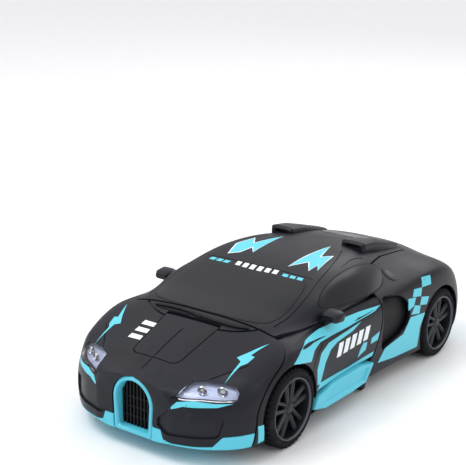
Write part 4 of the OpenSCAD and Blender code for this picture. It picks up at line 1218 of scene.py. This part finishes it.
def make_head():
    """Helmet with crest and side fins round a faceted mask, a plain design of its own."""
    dome = ellipsoid_points((0, -6.5, 14.5), (8.8, 6, 8.2), 24)
    helmet = hull("helmet", dome + [(-7, -9.5, 5), (7, -9.5, 5), (-6.5, -2.5, 4.6), (6.5, -2.5, 4.6)])
    rim = ((5.4, -20, 15), (5.8, -20, 10), (4.4, -20, 2), (5.4, -8, 15), (5.8, -8, 10), (4.4, -8, 2),
           (2.4, -20, 17.4), (2.4, -8, 17.4))
    opening = hull("cutter", [(x * sign, y, z) for sign in (1, -1) for x, y, z in rim])
    boolean(helmet, "DIFFERENCE", opening)
    set_one(helmet, HEAD, "body_black", "head_helmet", "head_helmet")
    crest_side = [(-12.6, 15.6), (-12.8, 18), (-9.4, 22.6), (-4, 24), (-3, 20), (-8, 17)]
    crest = prism(crest_side, 0, -1.1, 1.1, "helmet_crest")
    set_one(crest, HEAD, "silver_plastic", "head_helmet", bevel=0.4)
    fin = [(8.2, -9, 9), (8.2, -4, 9), (8.6, -4, 21), (8.6, -7, 20), (9.9, -8, 11), (9.9, -5, 11),
           (9.6, -4.6, 21.4)]
    set_pair(hull("helmet_fin_left", fin), HEAD, "body_black", "head_helmet", bevel=0.3)
    guard = [(5.2, -11.6, 5), (8, -8.6, 6), (8.4, -9.4, 12), (5.9, -12, 11.4), (5, -8, 4.6)]
    set_pair(hull("cheek_guard_left", guard), HEAD, "dark_plastic", "head_helmet", bevel=0.3)
    brow = [(0, -12.8, 14.2), (0, -12.2, 16.4), (5, -10.6, 16.2), (5.2, -10.6, 14.6), (0, -9, 16.4),
            (5, -9, 16.2)]
    set_pair(hull("brow_left", brow), HEAD, "silver_plastic", "head_face", bevel=0.2)
    cheek = [(1.2, -12.4, 11), (5.2, -10.6, 11.2), (4.8, -10.6, 7.6), (2, -12.2, 7.4), (1.2, -9, 11),
             (5.2, -9, 11), (2, -9, 7)]
    set_pair(hull("cheek_left", cheek), HEAD, "silver_plastic", "head_face", bevel=0.2)
    nose = [(-1, -12.2, 14), (1, -12.2, 14), (-1.5, -12.9, 9.4), (1.5, -12.9, 9.4), (-1, -9, 14), (1, -9, 9)]
    set_one(hull("nose", nose), HEAD, "silver_plastic", "head_face", "head_face", bevel=0.2)
    chin = [(-3.4, -12.2, 7), (3.4, -12.2, 7), (-2.2, -12.6, 3.8), (2.2, -12.6, 3.8), (-3.4, -9, 7),
            (3.4, -9, 7), (-2, -9, 4), (2, -9, 4)]
    set_one(hull("chin", chin), HEAD, "silver_plastic", "head_face", bevel=0.25)
    mouth = box((-2.4, -12.8, 6.9), (2.4, -11.6, 8.6), "mouth_grille", 0.2)
    set_one(mouth, HEAD, "dark_plastic", "head_face")
    eye = [(1.3, -12, 11.6), (4.6, -11, 12.2), (4.7, -11, 13.6), (1.6, -12, 13), (1.3, -10, 11.6),
           (4.6, -10, 13.4)]
    set_pair(hull("eye_left", eye), HEAD, "eye_blue", "head_eyes", "head_eyes")


# ---------------------------------------------------------------- camera, light and floor
def make_camera():
    """Camera at the photo's place, in millimetres and radians."""
    place_mm = Vector((360.5, -534.6, 270.6))
    azimuth, elevation, roll = 0.635998, 0.286278, 0.0125648
    back = Vector((math.sin(azimuth) * math.cos(elevation), -math.cos(azimuth) * math.cos(elevation),
                   math.sin(elevation)))
    level = Vector((math.cos(azimuth), math.sin(azimuth), 0))
    upright = back.cross(level)
    right = math.cos(roll) * level + math.sin(roll) * upright
    up = -math.sin(roll) * level + math.cos(roll) * upright
    data = bpy.data.cameras.new("camera")
    data.lens = 95.13
    data.sensor_width = 36
    data.clip_start = 0.01
    data.clip_end = 20
    camera = linked("camera", data)
    camera.matrix_world = Matrix((
        (right.x, up.x, back.x, place_mm.x * MM),
        (right.y, up.y, back.y, place_mm.y * MM),
        (right.z, up.z, back.z, place_mm.z * MM),
        (0, 0, 0, 1)))
    bpy.context.scene.camera = camera


def area_light(name, where, size, power, target=(0, 0, 0.03)):
    data = bpy.data.lights.new(name, "AREA")
    data.shape = "RECTANGLE"
    data.size, data.size_y = size
    data.energy = power
    light = linked(name, data)
    light.location = where
    light.rotation_euler = (Vector(where) - Vector(target)).to_track_quat("Z", "Y").to_euler()
    return light


def make_studio():
    floor = new_object("floor", [(-4, -4, 0), (4, -4, 0), (4, 4, 0), (-4, 4, 0)], [(0, 1, 2, 3)])
    floor.data.materials.append(LOOKS["floor"])
    lights = [area_light("key", (-0.35, -0.45, 0.95), (0.6, 0.45), 4.5),
              area_light("side", (0.95, -0.2, 0.55), (0.5, 0.5), 1.2),
              area_light("back", (0.0, 0.95, 0.7), (1.0, 0.4), 2.5)]
    world = bpy.data.worlds.new("studio")
    world.use_nodes = True
    tree = world.node_tree
    background = tree.nodes["Background"]
    background.inputs["Color"].default_value = (0.99, 0.992, 1.0, 1)
    coords = tree.nodes.new("ShaderNodeTexCoord")
    split = tree.nodes.new("ShaderNodeSeparateXYZ")
    tree.links.new(coords.outputs["Generated"], split.inputs["Vector"])
    tree.links.new(mapped(tree, split.outputs["Z"], 0.45, 1.15, 0.0, 0.9), background.inputs["Strength"])
    bpy.context.scene.world = world
    bpy.context.scene.view_settings.view_transform = "Standard"


paint_frame()
make_hood()
make_lip()
make_hatch()
make_door()
make_rear()
make_rear_trim()
make_roof()
make_glass()
make_side_marks()
make_top_marks()
make_lights()
make_grille()
make_sill()
make_scoops()
make_mirrors()
make_small_parts()
make_wheels()
make_ribs()
make_torso()
make_thighs()
make_shins()
make_head()
for spare in (outer, shell):
    bpy.data.objects.remove(spare)
make_camera()
make_studio()
